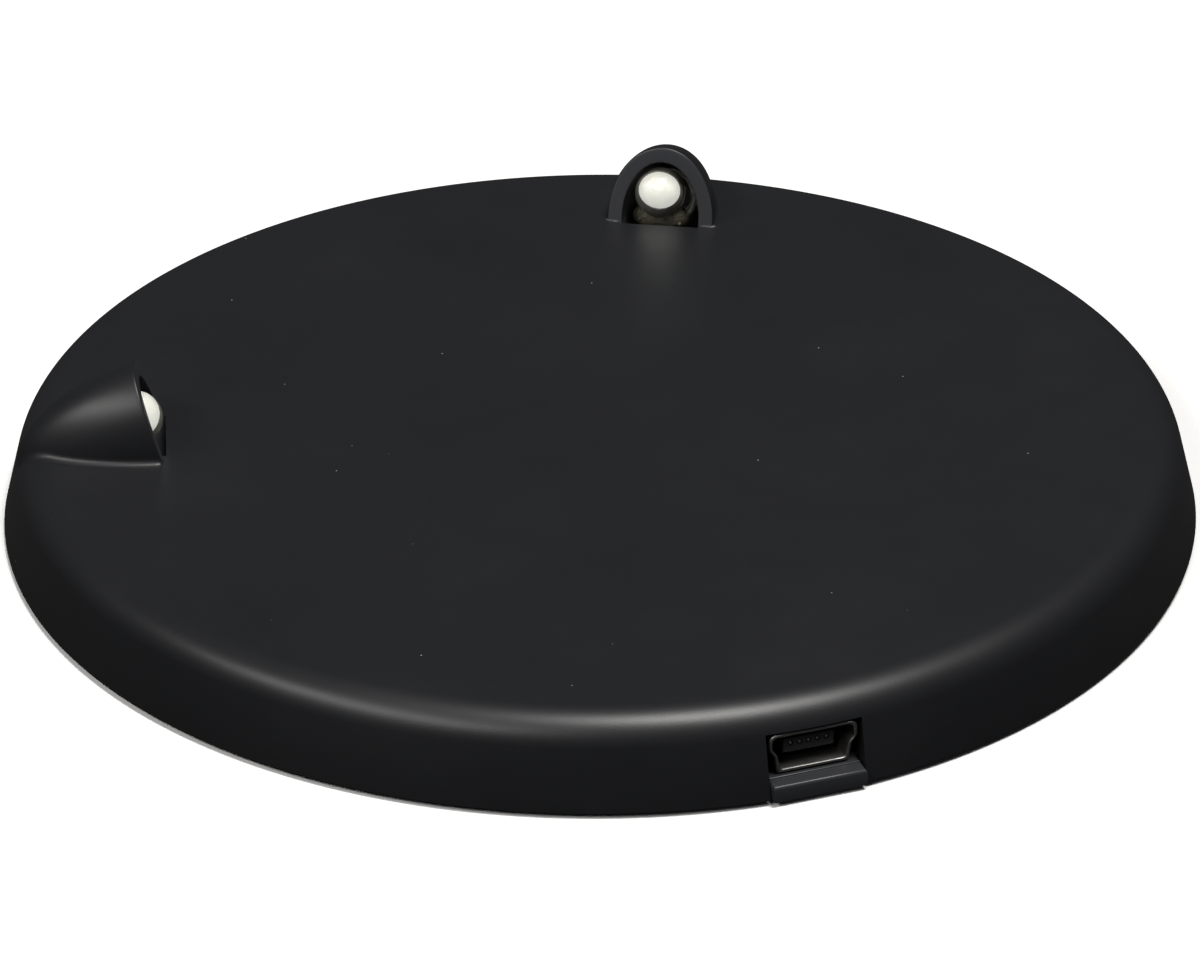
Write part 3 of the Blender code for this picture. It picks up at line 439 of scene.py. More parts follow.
def enamelled_copper():
    wire = Finish("enamelled_copper", Metallic=0.9, Coat_Roughness=0.08)
    runs = wire.noise(2.4 * MM, 4.0, 0.6)
    draw = wire.noise(0.12 * MM, 2.0)
    wire.vary("Base Color", wire.mix(runs, (0.48, 0.15, 0.055), (0.72, 0.29, 0.12)))
    wire.vary("Roughness", 0.26 + 0.14 * draw)
    wire.vary("Coat Weight", 0.5 + 0.4 * runs)
    wire.bump(draw, 0.01 * MM, 0.4)
    return wire.material


def tape():
    """Amber film over a paper backing, with trapped air."""
    film = Finish("adhesive_tape", Coat_Roughness=0.15)
    fibre = film.noise(0.4 * MM, 5.0, 0.7)
    air = film.step(film.noise(2.1 * MM, 3.0), 0.58, 0.66)
    film.vary("Base Color", film.mix(fibre, (0.60, 0.44, 0.18), (0.74, 0.62, 0.36)))
    film.vary("Roughness", 0.35 + 0.2 * fibre)
    film.vary("Coat Weight", 0.6 - 0.3 * air)
    film.bump(fibre + air, 0.02 * MM, 0.5)
    return film.material


def sleeving(name, dark, pale):
    """Extruded wire insulation, a little waxy."""
    skin = Finish(name, Specular_IOR_Level=0.45)
    wax = skin.noise(1.8 * MM, 3.0, 0.6)
    grain = skin.noise(0.1 * MM, 3.0, 0.6)
    skin.vary("Base Color", skin.mix(wax, dark, pale))
    skin.vary("Roughness", 0.34 + 0.16 * wax)
    skin.bump(grain, 0.008 * MM, 0.5)
    return skin.material


# ---------------------------------------------------------------- mesh helpers

def add_piece(name, mesh, material):
    piece = bpy.data.objects.new(name, mesh)
    bpy.context.scene.collection.objects.link(piece)
    if mesh.materials:
        mesh.materials.clear()
    if material is not None:
        mesh.materials.append(material)
    return piece


def close_up(name, bm, material=None, sharp=32.0):
    """Turn an edit mesh into a shaded object with its faces out."""
    bmesh.ops.remove_doubles(bm, verts=bm.verts, dist=WELD)
    bmesh.ops.recalc_face_normals(bm, faces=bm.faces)
    if bm.calc_volume(signed=True) < 0:
        bmesh.ops.reverse_faces(bm, faces=bm.faces)
    mesh = bpy.data.meshes.new(name)
    bm.to_mesh(mesh)
    bm.free()
    piece = add_piece(name, mesh, material)
    soften(piece, sharp)
    return piece


def soften(piece, sharp=32.0):
    piece.data.shade_smooth()
    piece.data.set_sharp_from_angle(angle=math.radians(sharp))


def arc(centre, radius, start, end, steps):
    turns = [math.radians(start + (end - start) * step / steps) for step in range(steps + 1)]
    return [(centre[0] + radius * math.cos(a), centre[1] + radius * math.sin(a)) for a in turns]


def rounded(points, radius, steps=3):
    """A (radius, height) line with its inner corners broken by a small round."""
    run = [Vector(points[0])]
    for before, corner, after in zip(points, points[1:], points[2:]):
        corner = Vector(corner)
        start = corner + (Vector(before) - corner).normalized() * radius
        end = corner + (Vector(after) - corner).normalized() * radius
        for step in range(steps + 1):
            t = step / steps
            run.append(start * (1 - t) ** 2 + corner * (2 * t * (1 - t)) + end * t ** 2)
    run.append(Vector(points[-1]))
    return [tuple(point) for point in run]


def spun(profile, steps):
    """Edit mesh of a (radius, height) line turned round the axis."""
    bm = bmesh.new()
    points = [bm.verts.new((radius, 0.0, height)) for radius, height in profile]
    edges = [bm.edges.new(pair) for pair in zip(points, points[1:])]
    bmesh.ops.spin(bm, geom=points + edges, cent=(0, 0, 0), axis=(0, 0, 1),
                   angle=2 * math.pi, steps=steps, use_merge=True)
    bmesh.ops.remove_doubles(bm, verts=bm.verts, dist=WELD)
    return bm


def lattice(rows, closed=False):
    """Edit mesh of a grid of points; closed joins each row's end to its start."""
    bm = bmesh.new()
    grid = [[bm.verts.new(point) for point in row] for row in rows]
    for row, following in zip(grid, grid[1:]):
        pairs = list(zip(row, row[1:], following, following[1:]))
        if closed:
            pairs.append((row[-1], row[0], following[-1], following[0]))
        for a, b, c, d in pairs:
            bm.faces.new((a, b, d, c))
    return bm


def brick(low, high, edge, steps=2):
    """Edit mesh of a box with rounded edges."""
    bm = bmesh.new()
    size = Vector(high) - Vector(low)
    middle = (Vector(high) + Vector(low)) / 2
    bmesh.ops.create_cube(bm, size=1.0,
                          matrix=Matrix.Translation(middle) @ Matrix.Diagonal((*size, 1)))
    bmesh.ops.bevel(bm, geom=bm.edges, offset=edge, segments=steps, profile=0.5, affect="EDGES")
    return bm


def cut(piece, tool):
    """Cut a tool solid out of a piece, and use the tool up."""
    step = piece.modifiers.new("cut", "BOOLEAN")
    step.operation = "DIFFERENCE"
    step.solver = "EXACT"
    step.object = tool
    bpy.context.view_layer.update()
    evaluated = piece.evaluated_get(bpy.context.evaluated_depsgraph_get())
    mesh = bpy.data.meshes.new_from_object(evaluated)
    piece.modifiers.clear()
    piece.data = mesh
    bpy.data.objects.remove(tool)


def join(name, pieces, material, sharp=32.0):
    """Put several shells into one object."""
    bm = bmesh.new()
    for piece in pieces:
        part = piece.data.copy()
        part.transform(piece.matrix_basis)
        bm.from_mesh(part)
        bpy.data.objects.remove(piece)
    mesh = bpy.data.meshes.new(name)
    bm.to_mesh(mesh)
    bm.free()
    joined = add_piece(name, mesh, material)
    soften(joined, sharp)
    return joined


def stood(name, bm, place):
    """An edit mesh moved to its place and closed up."""
    bm.transform(Matrix.Translation(place))
    return close_up(name, bm)


def put(piece, slot, *stood_for):
    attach(piece, "root")
    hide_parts(*stood_for)
    return piece


def about_axis(degrees):
    return Matrix.Rotation(math.radians(degrees), 4, "Z")


def on_circle(radius, degrees, height=0.0):
    angle = math.radians(degrees)
    return Vector((radius * math.cos(angle), radius * math.sin(angle), height))


# ---------------------------------------------------------------- the moulded top

FILLET_Z = TOP_Z - RIM_FILLET
FILLET_R = BODY_RADIUS - ((RIM_FILLET + (FILLET_Z - RIM_Z) * math.sin(SKIRT_DRAFT))
                          / math.cos(SKIRT_DRAFT))


def skirt_line(radius, low, high, fillet, steps):
    """(radius, height) points up the sloping skirt and over its rounded top edge."""
    middle_z = high - fillet
    rise = (middle_z - RIM_Z) * math.sin(SKIRT_DRAFT)
    middle_r = radius - (fillet + rise) / math.cos(SKIRT_DRAFT)
    bottom = radius - (low - RIM_Z) * math.tan(SKIRT_DRAFT)
    over = arc((middle_r, middle_z), fillet, math.degrees(SKIRT_DRAFT), 90, steps)
    return [(bottom, low)] + over


def over_top(point):
    """How far a point is above the outside of the top, and the way out of the top there."""
    radius = math.hypot(point.x, point.y)
    if radius <= FILLET_R:
        return point.z - TOP_Z, Vector((0, 0, 1))
    away = Vector((radius - FILLET_R, point.z - FILLET_Z))
    lowest = Vector((math.cos(SKIRT_DRAFT), math.sin(SKIRT_DRAFT)))
    if away.length > 0 and away.normalized().y > lowest.y:
        out = away.normalized()
        height = away.length - RIM_FILLET
    else:
        out = lowest
        height = away.dot(lowest) - RIM_FILLET
    return height, Vector((out.x * point.x / radius, out.x * point.y / radius, out.y))


def egg(inset, theta, phi):
    """Point on a hood's egg shape; theta from its outer pole, phi round its long axis."""
    long, wide, high = (size - inset for size in HOOD_AXES)
    place = Matrix.Rotation(HOOD_DIP, 3, "Y") @ Vector((long * math.cos(theta),
                                                        wide * math.sin(theta) * math.cos(phi),
                                                        high * math.sin(theta) * math.sin(phi)))
    return place + Vector((HOOD_FOOT + HOOD_OUT, 0, TOP_Z + HOOD_UP))


def halved(test, inside, outside, rounds=40):
    """The value between inside and outside where a test stops being true."""
    for _ in range(rounds):
        middle = (inside + outside) / 2
        if test(middle):
            inside = middle
        else:
            outside = middle
    return (inside + outside) / 2


MOUTH_FACING = Vector((-math.cos(MOUTH_LEAN), 0, math.sin(MOUTH_LEAN)))
MOUTH_FOOT = Vector((HOOD_FOOT, 0, TOP_Z))


def behind_mouth(point):
    return (point - MOUTH_FOOT).dot(MOUTH_FACING) < 0


def behind_lip(point):
    return point.x > HOOD_FOOT - WELL_LIP


def mouth_theta(inset, phi, behind=behind_mouth):
    return halved(lambda theta: behind(egg(inset, theta, phi)), 0.1, math.pi - 0.1)


def spread(steps):
    """0 to 1, closer together towards both ends."""
    return [(1 - math.cos(math.pi * step / steps)) / 2 for step in range(steps + 1)]


def rib(inset, share, sink):
    """One rib over the hood, foot to foot; share runs from 0 at the mouth to 1 at the tail."""
    tail = halved(lambda theta: over_top(egg(inset, theta, math.pi / 2))[0] > 0, math.pi / 2, 0.0)

    def at(phi):
        mouth = mouth_theta(inset, phi)
        return egg(inset, mouth + (tail - mouth) * share, phi)

    low = halved(lambda phi: over_top(at(phi))[0] > -sink, math.pi / 2, -0.6)
    return [at(low + (math.pi - 2 * low) * part) for part in spread(RIB_POINTS)]


def bent(start, corner, end, steps=4):
    """Rows that round a corner, without its first row."""
    rows = []
    for step in range(1, steps + 1):
        t = step / steps
        rows.append([a * (1 - t) ** 2 + b * (2 * t * (1 - t)) + c * t ** 2
                     for a, b, c in zip(start, corner, end)])
    return rows


def toward(row, goal, reach):
    """A row moved a short way towards another."""
    return [a + (b - a).normalized() * reach for a, b in zip(row, goal)]


def make_hood(degrees):
    """The outside of a hood and its mouth, flared where it grows out of the top."""
    shares = [step / RIBS for step in range(RIBS + 1)]
    ribs = [rib(0.0, share ** 1.15 * 0.998, HOOD_SINK) for share in shares]
    mouth, inner = ribs[0], rib(HOOD_WALL, 0.0, HOOD_SINK)
    deep = rib(HOOD_WALL, 0.12, HOOD_SINK)
    rows = list(reversed(ribs[1:]))
    shoulder = toward(mouth, ribs[1], MOUTH_ROUND)
    crown = RIB_POINTS // 2
    if (ribs[1][crown] - mouth[crown]).length < MOUTH_ROUND * 1.4:
        rows.pop()
    rows.append(shoulder)
    face = toward(mouth, inner, MOUTH_ROUND)
    rows += bent(shoulder, mouth, face)
    for part in (0.25, 0.5, 0.75):
        rows.append([a.lerp(b, part) for a, b in zip(face, inner)])
    brim = toward(inner, mouth, EDGE)
    rows.append(brim)
    rows += bent(brim, inner, toward(inner, deep, EDGE))
    rows.append(deep)
    bm = lattice(rows)
    bm.normal_update()
    bmesh.ops.recalc_face_normals(bm, faces=bm.faces)
    ridge = max(bm.verts, key=lambda vert: vert.co.z)
    if ridge.normal.z < 0:
        bmesh.ops.reverse_faces(bm, faces=bm.faces)
    bm.normal_update()
    flared_points = (len(rows) - 7) * (RIB_POINTS + 1)     # up to the middle of the mouth's face
    flared = []
    for number, vert in enumerate(bm.verts):
        height, out = over_top(vert.co)
        forward = max(-vert.normal.x, 0.0) if vert.co.x < HOOD_FOOT + MOUTH_DEPTH else 0.0
        fillet = FOOT_FILLET + (MOUTH_FILLET - FOOT_FILLET) * min(forward * 1.6, 1.0)
        if height < fillet and number < flared_points:
            along = vert.normal - out * vert.normal.dot(out)
            left = fillet - max(height, 0.0)
            reach = fillet - math.sqrt(max(fillet ** 2 - left ** 2, 0.0))
            flared.append((vert, along * reach))
    for vert, shift in flared:
        vert.co += shift
    bm.normal_update()
    # the mouth's face takes the second, paler finish: painted light
    for face in bm.faces:
        ahead = (face.calc_center_median() - MOUTH_FOOT).dot(MOUTH_FACING)
        if face.normal.dot(MOUTH_FACING) > 0.9 and abs(ahead) < EDGE:
            face.material_index = 1
    bm.transform(about_axis(degrees))
    mesh = bpy.data.meshes.new("hood")
    bm.to_mesh(mesh)
    bm.free()
    return add_piece("hood", mesh, None)


def make_liner(degrees):
    """The inside of a hood, carried down through the top."""
    rows = []
    across = [math.radians(LINER_START + LINER_SWEEP * step / LINER_STEPS)
              for step in range(LINER_STEPS + 1)]
    for step in range(LINER_ROWS + 1):
        share = (step / LINER_ROWS) ** 1.3
        row = []
        for phi in across:
            start = mouth_theta(HOOD_WALL, phi)
            if egg(HOOD_WALL, start, phi).z < TOP_Z:
                start = mouth_theta(HOOD_WALL, phi, behind_lip)
            theta = (start - 0.004) + (0.12 - start) * share
            row.append(egg(HOOD_WALL, theta, phi))
        rows.append(row)
    bm = lattice(rows)
    bm.normal_update()
    # the hood's inside takes the same paler finish: painted light in the well
    for face in bm.faces:
        face.material_index = 1
    bm.transform(about_axis(degrees))
    mesh = bpy.data.meshes.new("liner")
    bm.to_mesh(mesh)
    bm.free()
    return add_piece("liner", mesh, None)


def well_tool(degrees):
    """What is cut out of the top under a hood, a hair wider than the liner."""
    inset = HOOD_WALL - WELL_GAP
    bm = bmesh.new()
    long, wide, high = (size - inset for size in HOOD_AXES)
    place = (Matrix.Translation((HOOD_FOOT + HOOD_OUT, 0, TOP_Z + HOOD_UP))
             @ Matrix.Rotation(HOOD_DIP, 4, "Y") @ Matrix.Diagonal((long, wide, high, 1)))
    bmesh.ops.create_uvsphere(bm, u_segments=64, v_segments=40, radius=1.0,
                              matrix=place @ Matrix.Rotation(math.pi / 2, 4, "Y"))
    everything = bm.verts[:] + bm.edges[:] + bm.faces[:]
    bmesh.ops.bisect_plane(bm, geom=everything, plane_co=(HOOD_FOOT - WELL_LIP, 0, 0),
                           plane_no=(-1, 0, 0), clear_outer=True)
    bmesh.ops.holes_fill(bm, edges=[edge for edge in bm.edges if edge.is_boundary])
    bm.transform(about_axis(degrees))
    return close_up("well", bm)


def make_top(material, painted_light_face_material):
    """The top with its hoods, wells and notch; its bosses and pins stand inside."""
    outer = skirt_line(BODY_RADIUS, RIM_Z, TOP_Z, RIM_FILLET, FILLET_STEPS)
    inner = skirt_line(BODY_RADIUS - SKIRT_WALL, RIM_Z, CEILING_Z, INNER_FILLET, 10)
    edge_in, edge_out = inner[0], outer[0]
    rim = rounded([inner[1], edge_in, edge_out, outer[1]], EDGE)
    rings = [(radius * MM, TOP_Z) for radius in (48, 44, 36, 24, 12, 4)]
    ceiling = [(radius * MM, CEILING_Z) for radius in (4, 12, 24, 36, 46)]
    inside = [(0, CEILING_Z)] + ceiling + list(reversed(inner[2:]))
    line = inside + rim + outer[2:] + rings + [(0, TOP_Z)]
    shell = close_up("shell", spun(line, CASE_STEPS))
    for degrees in LAMPS.values():
        cut(shell, well_tool(degrees))
    half = SOCKET_WIDTH / 2 + NOTCH_SIDE
    notch = brick((-half, -BODY_RADIUS - TOP_WALL, RIM_Z - TOP_WALL),
                  (half, -NOTCH_INNER, SOCKET_TOP_Z + NOTCH_ROOF), 0.08 * MM)
    cut(shell, close_up("notch", notch))
    shells = [shell]
    for degrees in LAMPS.values():
        shells.append(make_hood(degrees))
        shells.append(make_liner(degrees))
    boss_line = [(0, BOSS_HOLE_END_Z), (BOSS_HOLE, BOSS_HOLE_END_Z), (BOSS_HOLE, BOSS_LOW_Z),
                 (BOSS_RADIUS, BOSS_LOW_Z), (BOSS_RADIUS, ROOT_Z), (0, ROOT_Z)]
    for degrees in SCREW_ANGLES:
        shells.append(stood("boss", spun(boss_line, 32), on_circle(SCREW_CIRCLE, degrees)))
    pin_line = rounded([(0, PIN_LOW_Z), (PIN_RADIUS, PIN_LOW_Z), (PIN_RADIUS, ROOT_Z)], 0.2 * MM)
    for side in (-1, 1):
        shells.append(stood("pin", spun(pin_line, 24), (side * PIN_PLACE[0], PIN_PLACE[1], 0)))
    top = join("moulded_top", shells, material)
    # second finish: a paler copy of the satin black that paints light on the mouth faces and
    # liners
    top.data.materials.append(painted_light_face_material)
    return put(top, "satin_black_plastic", "top_shell")


# ---------------------------------------------------------------- the base

def sunk(radius, top, steps):
    """What is cut out of the base for a screw's head or a foot."""
    line = [(0, BELOW_Z), (radius, BELOW_Z), (radius, top), (0, top)]
    return spun(rounded(line, 0.05 * MM), steps)


def make_base(material, painted_light_sill_material):
    """The base with its screw sinks, foot pockets, collars, pillars and sill."""
    wall = BODY_RADIUS - SKIRT_WALL - BASE_SIDE
    slope = BASE_THICKNESS * math.tan(SKIRT_DRAFT)
    line = rounded([(0, RIM_Z), (wall, RIM_Z), (wall - slope, FLOOR_Z), (0, FLOOR_Z)], 0.1 * MM)
    base = close_up("base", spun(line, CASE_STEPS))
    for degrees in SCREW_ANGLES:
        sink = sunk(SINK_RADIUS, SCREW_SEAT_Z, 40)
        cut(base, stood("sink", sink, on_circle(SCREW_CIRCLE, degrees)))
    for degrees in FOOT_ANGLES:
        pocket = sunk(POCKET_RADIUS, POCKET_TOP_Z, 56)
        cut(base, stood("pocket", pocket, on_circle(FOOT_CIRCLE, degrees)))
    shells = [base]
    collar_line = [(COLLAR_HOLE, SCREW_SEAT_Z), (COLLAR_RADIUS, SCREW_SEAT_Z),
                   (COLLAR_RADIUS, COLLAR_TOP_Z), (COLLAR_HOLE, COLLAR_TOP_Z),
                   (COLLAR_HOLE, SCREW_SEAT_Z)]
    for degrees in SCREW_ANGLES:
        shells.append(stood("collar", spun(collar_line, 40), on_circle(SCREW_CIRCLE, degrees)))
    pillars = [(Vector((x * MM, BOARD_PILLAR_ROW, 0)), BOARD_PILLAR_TOP_Z) for x in BOARD_PILLARS]
    for number in range(FERRITE_PILLARS):
        place = on_circle(FERRITE_PILLAR_CIRCLE, 90 + 120 * number)
        pillars.append((place, FERRITE_PILLAR_TOP_Z))
    for place, top in pillars:
        line = [(0, PILLAR_ROOT_Z), (PILLAR_RADIUS, PILLAR_ROOT_Z), (PILLAR_RADIUS, top), (0, top)]
        shells.append(stood("pillar", spun(line, 28), place))
    shells.append(make_sill())
    whole = join("base_moulding", shells, material)
    # second finish: a paler copy of the satin black, painted light on the sill
    whole.data.materials.append(painted_light_sill_material)
    return put(whole, "satin_black_plastic", "base_plate")


def make_sill():
    """The base in the socket's notch: rounded upper front edge, clipped lower corners."""
    half = SOCKET_WIDTH / 2 + NOTCH_SIDE - SILL_GAP
    front = -(BODY_RADIUS + SILL_PROUD)
    back = -(BODY_RADIUS - SKIRT_WALL - 1.2 * MM)
    low = RIM_Z + SILL_CHAMFER
    outline = [(-half, low), (-half + SILL_CHAMFER, RIM_Z), (half - SILL_CHAMFER, RIM_Z),
               (half, low), (half, FLOOR_Z), (-half, FLOOR_Z)]
    bm = bmesh.new()
    face = bm.faces.new([bm.verts.new((x, front, z)) for x, z in outline])
    drawn = bmesh.ops.extrude_face_region(bm, geom=[face])["geom"]
    moved = [item for item in drawn if isinstance(item, bmesh.types.BMVert)]
    bmesh.ops.translate(bm, verts=moved, vec=(0, back - front, 0))
    upper_edges = [edge for edge in bm.edges
                   if all(vert.co.z > FLOOR_Z - 0.01 * MM for vert in edge.verts)]
    bmesh.ops.bevel(bm, geom=upper_edges, offset=SILL_ROUND, segments=4, profile=0.5,
                    affect="EDGES")
    sill = close_up("sill", bm)
    burr_y = -(BODY_RADIUS - BURR_SETBACK)
    burr = brick((-half + 0.1 * MM, burr_y - 0.09 * MM, FLOOR_Z - 0.2 * MM),
                 (half - 0.1 * MM, burr_y + 0.13 * MM, FLOOR_Z + 0.11 * MM), 0.088 * MM, 3)
    whole = join("sill", [sill, close_up("burr", burr)], None)
    # the sill and its burr take the paler finish: painted light
    for face in whole.data.polygons:
        face.material_index = 1
    return whole


def make_foot(number, degrees, material):
    line = [(0, 0), (FOOT_RADIUS, 0), (FOOT_RADIUS, FOOT_HEIGHT), (0, FOOT_HEIGHT)]
    foot = spun(rounded(line, 0.28 * MM, 5), 72)
    foot.transform(Matrix.Translation(on_circle(FOOT_CIRCLE, degrees)))
    pad = close_up("foot_pad_%d" % number, foot, material)
    return put(pad, "black_rubber", "rubber_foot_%d" % number)


def make_screw(number, degrees, material):
    """Pan-head case screw with a tapered cross recess."""
    low, seat, tip = SCREW_HEAD_Z, SCREW_SEAT_Z, SCREW_TIP_Z
    line = [(0, low), (1.3 * MM, low + 0.03 * MM), (1.75 * MM, low + 0.18 * MM),
            (HEAD_RADIUS, low + 0.5 * MM), (HEAD_RADIUS, seat), (SCREW_RADIUS, seat),
            (SCREW_RADIUS, tip - MM), (0, tip)]
    screw = close_up("screw", spun(line, 48))
    for turn in (0.0, 90.0):
        bm = bmesh.new()
        bmesh.ops.create_cube(bm, size=1.0, matrix=Matrix.Diagonal((*RECESS, 1)))
        for vert in bm.verts:
            if vert.co.z > 0:
                vert.co.x *= 0.45
                vert.co.y *= 0.7
        bm.transform(Matrix.Rotation(math.radians(turn), 4, "Z"))
        bm.transform(Matrix.Translation((0, 0, low)))
        cut(screw, close_up("slot", bm))
    screw.data.transform(about_axis(degrees + 20 * number))
    screw.data.transform(Matrix.Translation(on_circle(SCREW_CIRCLE, degrees)))
    whole = join("screw_%d" % number, [screw], material, 25.0)
    return put(whole, "zinc_steel", "case_screw_%d" % number)


# ---------------------------------------------------------------- the socket

def socket_line(inset):
    """The socket's outline, (x, height): round shoulders, waisted sides, narrow heel."""
    wide, waist, heel = (width / 2 - inset for width in (SOCKET_WIDTH, WAIST_WIDTH, HEEL_WIDTH))
    top, low = SOCKET_TOP_Z - inset, SOCKET_TOP_Z - SOCKET_HEIGHT + inset
    round_up = SOCKET_CORNER - inset / 2
    right = arc((wide - round_up, top - round_up), round_up, 90, 0, 8)
    shoulder = SOCKET_TOP_Z - 0.36 * SOCKET_HEIGHT
    nip = SOCKET_TOP_Z - 0.60 * SOCKET_HEIGHT
    for step in range(9):
        t = step / 8
        eased = t * t * (3 - 2 * t)
        right.append((wide + (waist - wide) * eased, shoulder + (nip - shoulder) * t))
    heel_round = 0.28 * MM
    right.append((heel + 0.05 * MM, low + heel_round * 1.6))
    right += arc((heel - heel_round, low + heel_round), heel_round, 0, -90, 5)
    return right + [(-x, z) for x, z in reversed(right)]


def make_socket(material):
    """Drawn steel sleeve with a rolled lip."""
    back = SOCKET_FACE - SOCKET_LENGTH
    lip = SOCKET_METAL / 2
    stations = [(0.0, back), (0.0, SOCKET_FACE - lip)]
    stations += [(lip - lip * math.cos(a), SOCKET_FACE - lip + lip * math.sin(a))
                 for a in (math.radians(18 * step) for step in range(1, 10))]
    stations += [(SOCKET_METAL, SOCKET_FACE - lip), (SOCKET_METAL, back)]
    rows = [[Vector((x, -reach, z)) for x, z in socket_line(inset)] for inset, reach in stations]
    rows.append(rows[0])
    sleeve = close_up("sleeve", lattice(rows, closed=True))
    shells = [sleeve]
    for side in (-1, 1):
        for behind in WING_PLACES:
            middle = -SOCKET_FACE + behind * SOCKET_LENGTH
            xs = sorted(side * reach for reach in WING_REACH)
            wing = brick((xs[0], middle - WING_HALF_LENGTH, WING_Z[0]),
                         (xs[1], middle + WING_HALF_LENGTH, WING_Z[1]), 0.06 * MM)
            shells.append(close_up("wing", wing))
    return put(join("socket_sleeve", shells, material), "tinned_steel", "usb_shell")


def lying(place):
    """Moves a turned shape to a place in the socket, its axis running inwards."""
    return Matrix.Translation(place) @ Matrix.Rotation(-math.pi / 2, 4, "X")


def make_tongue(material):
    """The moulding that carries the contacts, with a shallow step along its front."""
    back = SOCKET_FACE - SOCKET_LENGTH + SOCKET_METAL
    front_face = SOCKET_FACE - PLUG_DEPTH
    stations = ((0.42 * MM, front_face), (0.36 * MM, front_face - 0.06 * MM), (0.36 * MM, back))
    rows = [[Vector((x, -reach, z)) for x, z in socket_line(inset)] for inset, reach in stations]
    bm = lattice(rows, closed=True)
    bmesh.ops.holes_fill(bm, edges=[edge for edge in bm.edges if edge.is_boundary])
    block = close_up("block", bm)
    width, thick = TONGUE_SIZE
    front = -SOCKET_FACE + TONGUE_SETBACK
    root = -SOCKET_FACE + PLUG_DEPTH + 0.3 * MM
    tongue = close_up("tongue", brick((-width / 2, front, TONGUE_TOP_Z - thick),
                                      (width / 2, root, TONGUE_TOP_Z), 0.1 * MM, 3))
    for number in range(CONTACTS):
        x = (number - 2) * CONTACT_PITCH
        port = spun([(0, -0.5 * MM), (PORT_RADIUS, -0.5 * MM), (PORT_RADIUS, PORT_DEPTH),
                     (0, PORT_DEPTH)], 20)
        port.transform(lying((x, front, CONTACT_Z)))
        cut(tongue, close_up("port", port))
    whole = join("socket_moulding", [block, tongue], material)
    return put(whole, "dark_insulator", "usb_insulator")


def make_contact(number, material):
    """A round-nosed contact whose tip shows in the tongue's front."""
    x = (number - 3) * CONTACT_PITCH
    front = -SOCKET_FACE + TONGUE_SETBACK
    nose = [(0, 0.0)] + [(CONTACT_NOSE * math.sin(a), CONTACT_NOSE * (1 - math.cos(a)))
                         for a in (math.radians(15 * step) for step in range(1, 7))]
    bm = spun(nose + [(CONTACT_NOSE, 0.7 * MM), (0, 0.7 * MM)], 20)
    bm.transform(lying((x, front + 0.02 * MM, CONTACT_Z)))
    tip = close_up("nose", bm)
    left, right = x - CONTACT_HALF_WIDTH, x + CONTACT_HALF_WIDTH
    rear = -SOCKET_FACE + SOCKET_LENGTH + CONTACT_TAIL
    bar = brick((left, front + 0.5 * MM, CONTACT_Z - CONTACT_HALF_THICK),
                (right, rear, CONTACT_Z + CONTACT_HALF_THICK), 0.04 * MM)
    tail = brick((left, rear - 0.4 * MM, CONTACT_Z), (right, rear, CONTACT_TOP_Z), 0.04 * MM)
    shells = [tip, close_up("bar", bar), close_up("tail", tail)]
    whole = join("contact_%d" % number, shells, material)
    return put(whole, "nickel_plate", "usb_contact_%d" % number)


# ---------------------------------------------------------------- the lamps

def lens_seat(side):
    """Origin at the back of a lamp's flange, Z along its optical axis."""
    dome = LENS_LENGTH - LENS_RADIUS
    out = HOOD_FOOT + DOME_OUT + dome * math.cos(LENS_TILT)
    up = TOP_Z + DOME_UP[side] - dome * math.sin(LENS_TILT)
    return (about_axis(LAMPS[side]) @ Matrix.Translation((out, 0, up))
            @ Matrix.Rotation(LENS_YAW[side], 4, "Z")
            @ Matrix.Rotation(LENS_TILT - math.pi / 2, 4, "Y"))


def make_lens(side, material):
    """Cast lamp body: domed nose, barrel and a flange with one flat."""
    top = LENS_LENGTH - LENS_RADIUS
    line = rounded([(0, 0), (FLANGE_RADIUS, 0), (FLANGE_RADIUS, FLANGE_HEIGHT),
                    (LENS_RADIUS, FLANGE_HEIGHT), (LENS_RADIUS, top)], 0.12 * MM, 4)
    line += arc((0, top), LENS_RADIUS, 0, 90, 20)[1:]
    lens = close_up("lens", spun(line, 72))
    flat = bmesh.new()
    beside = Matrix.Translation((0, LENS_RADIUS + 4.02 * MM, 0))
    bmesh.ops.create_cube(flat, size=8 * MM, matrix=beside)
    cut(lens, close_up("flat", flat))
    lens.data.transform(lens_seat(side))
    whole = join("lens_" + side, [lens], material, 40.0)
    return put(whole, "clear_epoxy", "lamp_lens_" + side)


def make_core(side, material):
    """The diffusing heart of a lens, domed in front and flat behind."""
    top = LENS_LENGTH - LENS_RADIUS
    radius = CORE_RADIUS[side]
    line = [(0, top - CORE_DEPTH), (0.9 * radius, top - CORE_DEPTH)]
    line += arc((0, top), radius, -8, 90, 16)
    core = spun(line, 64)
    core.transform(lens_seat(side) @ Matrix.Translation((CORE_LIFT[side], 0, 0))
                   @ Matrix.Diagonal((CORE_SQUEEZE, 1, 1, 1)))
    piece = close_up("lens_core_" + side, core, material, 50.0)
    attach(piece, "root")
    return piece


